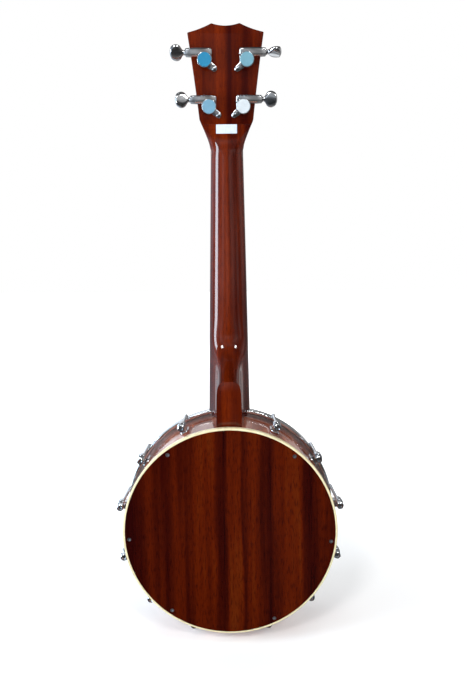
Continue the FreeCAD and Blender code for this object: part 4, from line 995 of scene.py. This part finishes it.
def housing_shell():
    """A die-cast case: a round gear case, a faceted tube for the worm, a lug and a stem."""
    case = lathe([(0, 0)] + rounded([(HOUSING, 0, 0.2), (HOUSING, 8.0, 0.7), (6.15, 8.0, 0.1),
                                     (6.1, 7.7, 0)], 0.2) + [(0, 7.7)], 64, closed=False)
    foot = prism(rounded([(-HOUSING, 0.0), (HOUSING, 0.0), (HOUSING, 10.2), (-HOUSING, 10.2)], 1.2),
                 0.0, 5.0, 0.4)
    rings = []
    for x, half in ((-HOUSING, 3.1), (-6.3, 3.6), (-5.9, 3.75), (HOUSING, 3.75), (12.0, 3.6), (16.9, 3.3),
                    (17.4, 3.15), (17.6, 2.8)):
        cut = half * 0.42
        corners = [(half, half - cut), (half - cut, half), (cut - half, half), (-half, half - cut),
                   (-half, cut - half), (cut - half, -half), (half - cut, -half), (half, cut - half)]
        outline = rounded(corners, 0.25, 3)
        rings.append([Vector((x, WORM_OFFSET + p.x, WORM_HEIGHT + p.y)) for p in outline])
    tube = loft(rings)
    screw = Vector(TUNER_SCREW)
    way = screw.normalized()
    side = Vector((-way.y, way.x))
    tongue = [-side * 3.6, side * 3.6]
    outline = [tongue[0], tongue[0] * 0.86 + way * 6.5]
    for k in range(13):
        turn = math.pi * (k / 12 - 0.5)
        outline.append(screw + way * 2.7 * math.cos(turn) + side * 2.7 * math.sin(turn))
    outline += [tongue[1] * 0.86 + way * 6.5, tongue[1]]
    lug = prism(outline, 0.0, 2.6, 0.6, 4)
    stem = lathe([(0, -8.0), (3.9, -8.0), (4.0, 0.5), (0, 0.5)], 32, closed=False)
    return case.add(foot).add(tube).add(lug).add(stem)


def cap_shell():
    return lathe([(0, 7.6)] + rounded([(6.05, 7.6, 0), (6.05, 8.8, 0.3)], 0.2, 5, closed=False)
                 + [(5.7, 8.8), (0, 8.8)], 64, closed=False)


def tuner_screw_shell():
    """A domed screw head on the lug."""
    profile = [(0, 2.5), (1.9, 2.5), (1.9, 2.9), (1.75, 3.3), (1.35, 3.6), (0.5, 3.75), (0, 3.75)]
    dome = lathe(profile, 24, closed=False)
    x, y = TUNER_SCREW
    return dome.placed(lambda p: Vector((p.x + x, p.y + y, p.z)))


BUTTON_SECTIONS = ((0.0, 1.9, 1.9), (1.3, 2.6, 2.0), (3.6, 5.9, 2.4), (6.6, 7.2, 2.9),
                   (9.6, 6.6, 3.4), (11.7, 5.0, 3.6), (BUTTON_LENGTH, 3.2, 2.4))


def button_shell(turn_degrees):
    """A metal button: it swells to an oval head, thicker towards its outer edge."""
    heights = [(offset, height) for offset, height, _ in BUTTON_SECTIONS]
    thicks = [(offset, thick) for offset, _, thick in BUTTON_SECTIONS]
    turn = math.radians(turn_degrees)
    rings = []
    steps = 40
    for k in range(steps + 1):
        offset = BUTTON_LENGTH * math.sin(math.pi / 2 * k / steps)
        half = curve_through(heights, offset)
        thick = curve_through(thicks, offset)
        ring = []
        for a, b in superellipse(half, thick, 2.3, 40):
            y = a * math.cos(turn) - b * math.sin(turn)
            z = a * math.sin(turn) + b * math.cos(turn)
            ring.append(Vector((BUTTON_START + offset, WORM_OFFSET + y, WORM_HEIGHT + z)))
        rings.append(ring)
    end = BUTTON_START + BUTTON_LENGTH
    for size, push in ((0.8, 0.25), (0.5, 0.45), (0.2, 0.55)):
        middle = Vector((end, WORM_OFFSET, WORM_HEIGHT))
        rings.append([middle + (p - middle) * size + Vector((push, 0, 0)) for p in rings[steps]])
    return loft(rings)


BUTTON_TURNS = {"left_upper": 75.0, "right_upper": 35.0, "left_lower": 5.0, "right_lower": -5.0}


def make_tuners():
    housing = housing_shell()
    screws = Shell()
    for side, post in TUNERS:
        name = side + "_" + post
        place = on_tuner(side, post)
        stand_in("tuner_housing_" + name, housing.placed(place), tuner_chrome, "chrome_tuner",
                 smooth=35)
        replaced = ["tuner_caps"] if name == "left_upper" else []
        # the cap's colour is a painted reflection of the sky
        make_piece("tuner_cap_" + name, cap_shell().placed(place),
                   cap_metal("turned cap " + name, CAP_PAINTED_SKY_REFLECTIONS[name]), "chrome_tuner",
                   replaces=replaced)
        screws.add(tuner_screw_shell().placed(place))
        body = "button_body_" + name
        stand_in("button_" + name, button_shell(BUTTON_TURNS[name]).placed(place), tuner_chrome,
                 "chrome_buttons", body, smooth=50)
        smooth_copy("worm_shaft_" + name, plain_steel, "worm_steel", body)
        for node, material, slot in (("string_post_", tuner_chrome, "chrome_posts"),
                                     ("post_gear_", brass, "gear_brass"),
                                     ("string_winding_", nylon, "strings")):
            smooth_copy(node + name, material, slot, "post_body_" + name)
    stand_in("tuner_screws", screws, hook_chrome, "screw_steel")
    for node in ("tuner_washers", "tuner_bushings"):
        smooth_copy(node, tuner_chrome, "chrome_tuner")
    smooth_copy("worm_bushes", brass, "bush_brass")


# ---- strings and what holds them ----

def make_strings():
    for index in range(4):
        smooth_copy("string_" + str(index + 1), nylon, "strings", smooth=80)
    smooth_copy("bridge", bridge_wood, "maple_bridge", smooth=35)
    smooth_copy("bridge_saddle", saddle_wood, "ebony_saddle", smooth=35)
    smooth_copy("tailpiece", hoop_chrome, "chrome_tailpiece")


# ---- studio ----

ROOM = 1.05
FLOOR_SIZE = 30.0
# the floor's glow rises with distance, in metres
GLOW_REACH = (0.22, 1.1)
GLOW_STRENGTH = (0.16, 1.0)
CAMERA_AT = (-4.7, 488.0, 233.2)
CAMERA_LENS = 27.78
CAMERA_PITCH = 6.8
CAMERA_ROLL = 0.54


def make_floor():
    """A wide pale floor whose glow grows with distance. Reflections show the room instead of it."""
    low = min(corner.z for corner in CAD_BOX)
    size = FLOOR_SIZE
    mesh = bpy.data.meshes.new("floor")
    mesh.from_pydata([(-size, -size, low), (size, -size, low), (size, size, low), (-size, size, low)],
                     [], [(0, 1, 2, 3)])
    floor = link_object("floor", mesh)
    n = Surface("pale floor")
    cloud = n.noise(n.coordinates((3, 3, 3)), 1.0, 2.0)
    n.feed("Base Color", n.ramp(cloud, [(0.3, grey(0.93)), (0.7, grey(0.95))]))
    n.set(Roughness=1.0, Specular_IOR_Level=0.0, Emission_Color=(1.0, 1.0, 1.0, 1.0))
    reach = n.node("ShaderNodeVectorMath", operation="LENGTH")
    n.link(n.coordinates(), reach.inputs[0])
    n.feed("Emission Strength", n.range(reach.outputs["Value"], *GLOW_REACH, *GLOW_STRENGTH))
    mesh.materials.append(n.material)
    floor.visible_glossy = False


def make_world():
    """White to the camera; to the object a dim room, brightest just above the horizon."""
    world = bpy.data.worlds.new("studio")
    bpy.context.scene.world = world
    world.use_nodes = True
    n = Nodes(world.node_tree)
    n.tree.nodes.clear()
    way = n.node("ShaderNodeTexCoord").outputs["Generated"]
    towards = n.split(way)

    def ramp(value, stops):
        return n.ramp(n.math("MULTIPLY_ADD", value, 0.5, 0.5), stops)

    depth = ramp(towards["Y"], ((0.0, grey(0.62)), (0.40, grey(0.62)), (0.56, grey(0.56)),
                                (0.72, grey(0.50)), (0.88, grey(0.46)), (1.0, grey(0.42))))
    height = ramp(towards["Z"], ((0.0, grey(0.85)), (0.52, grey(0.90)), (0.64, grey(1.0)),
                                 (0.76, grey(0.55)), (0.86, grey(0.22)), (1.0, grey(0.14))))
    ground = ramp(towards["Y"], ((0.0, grey(0.55)), (0.42, grey(0.42)), (0.58, grey(0.16)),
                                 (0.75, grey(0.07)), (1.0, grey(0.05))))
    horizon = ramp(towards["Z"], ((0.46, grey(0.0)), (0.51, grey(1.0))))
    side = ramp(towards["X"], ((0.0, grey(0.50)), (0.40, grey(0.72)), (0.50, grey(0.95)),
                               (0.60, (1.06, 1.14, 1.22)), (1.0, (0.85, 1.05, 1.30))))
    patches = n.noise(way, 2.6, 1.0)
    uneven = ramp(patches, ((0.68, grey(0.35)), (0.74, grey(0.75)), (0.78, grey(1.15)),
                            (0.84, grey(1.7))))
    walls = n.mix(horizon, ground, n.mix(1.0, depth, height, "MULTIPLY"))
    lit = n.mix(1.0, walls, n.mix(1.0, side, uneven, "MULTIPLY"), "MULTIPLY")
    room = n.node("ShaderNodeBackground", {"Strength": ROOM})
    n.link(lit, room.inputs["Color"])
    seen = n.node("ShaderNodeBackground", {"Color": (1, 1, 1, 1)})
    mix = n.node("ShaderNodeMixShader")
    n.link(n.node("ShaderNodeLightPath").outputs["Is Camera Ray"], mix.inputs["Fac"])
    n.link(room.outputs[0], mix.inputs[1])
    n.link(seen.outputs[0], mix.inputs[2])
    n.link(mix.outputs[0], n.node("ShaderNodeOutputWorld").inputs["Surface"])


def add_light(name, location, target, size, power, colour=(1, 1, 1)):
    data = bpy.data.lights.new(name, "AREA")
    data.shape = "RECTANGLE"
    data.size, data.size_y = size
    data.energy = power
    data.color = colour
    light = link_object(name, data)
    light.location = location
    light.rotation_euler = (Vector(target) - Vector(location)).to_track_quat("-Z", "Y").to_euler()
    light.visible_camera = False
    return light


def make_lights():
    soft = [add_light("ceiling", (0, 0.2, 2.3), (0, 0, 0), (1.8, 1.8), 16),
            add_light("front", (-0.6, -2.2, 1.3), (0, 0, 0.15), (1.6, 1.6), 16)]
    for light in soft:
        light.visible_glossy = False
    add_light("window", (1.35, 0.50, 0.30), (0, 0, 0.20), (0.50, 1.05), 24, (0.76, 0.89, 1.0))
    add_light("key_left", (0.95, 2.1, 2.0), (0, 0, 0.10), (0.5, 0.6), 26)
    add_light("key_right", (-0.95, 2.1, 2.0), (0, 0, 0.10), (0.5, 0.6), 26)


def make_camera():
    data = bpy.data.cameras.new("camera")
    data.lens = CAMERA_LENS
    data.sensor_width = 36.0
    camera = link_object("camera", data)
    pitch = math.radians(CAMERA_PITCH)
    roll = math.radians(CAMERA_ROLL)
    aim = Vector((0, -math.cos(pitch), -math.sin(pitch)))
    turn = aim.to_track_quat("-Z", "Y").to_matrix().to_4x4()
    camera.matrix_world = (Matrix.Translation(Vector(CAMERA_AT) * MM) @ turn
                           @ Matrix.Rotation(-roll, 4, "Z"))
    data.clip_start = 0.01
    bpy.context.scene.camera = camera


make_pot()
make_hoop()
make_hooks()
make_neck()
make_headstock()
make_fretboard()
make_tuners()
make_strings()
make_floor()
make_world()
make_lights()
make_camera()
bpy.context.scene.view_settings.view_transform = "Standard"
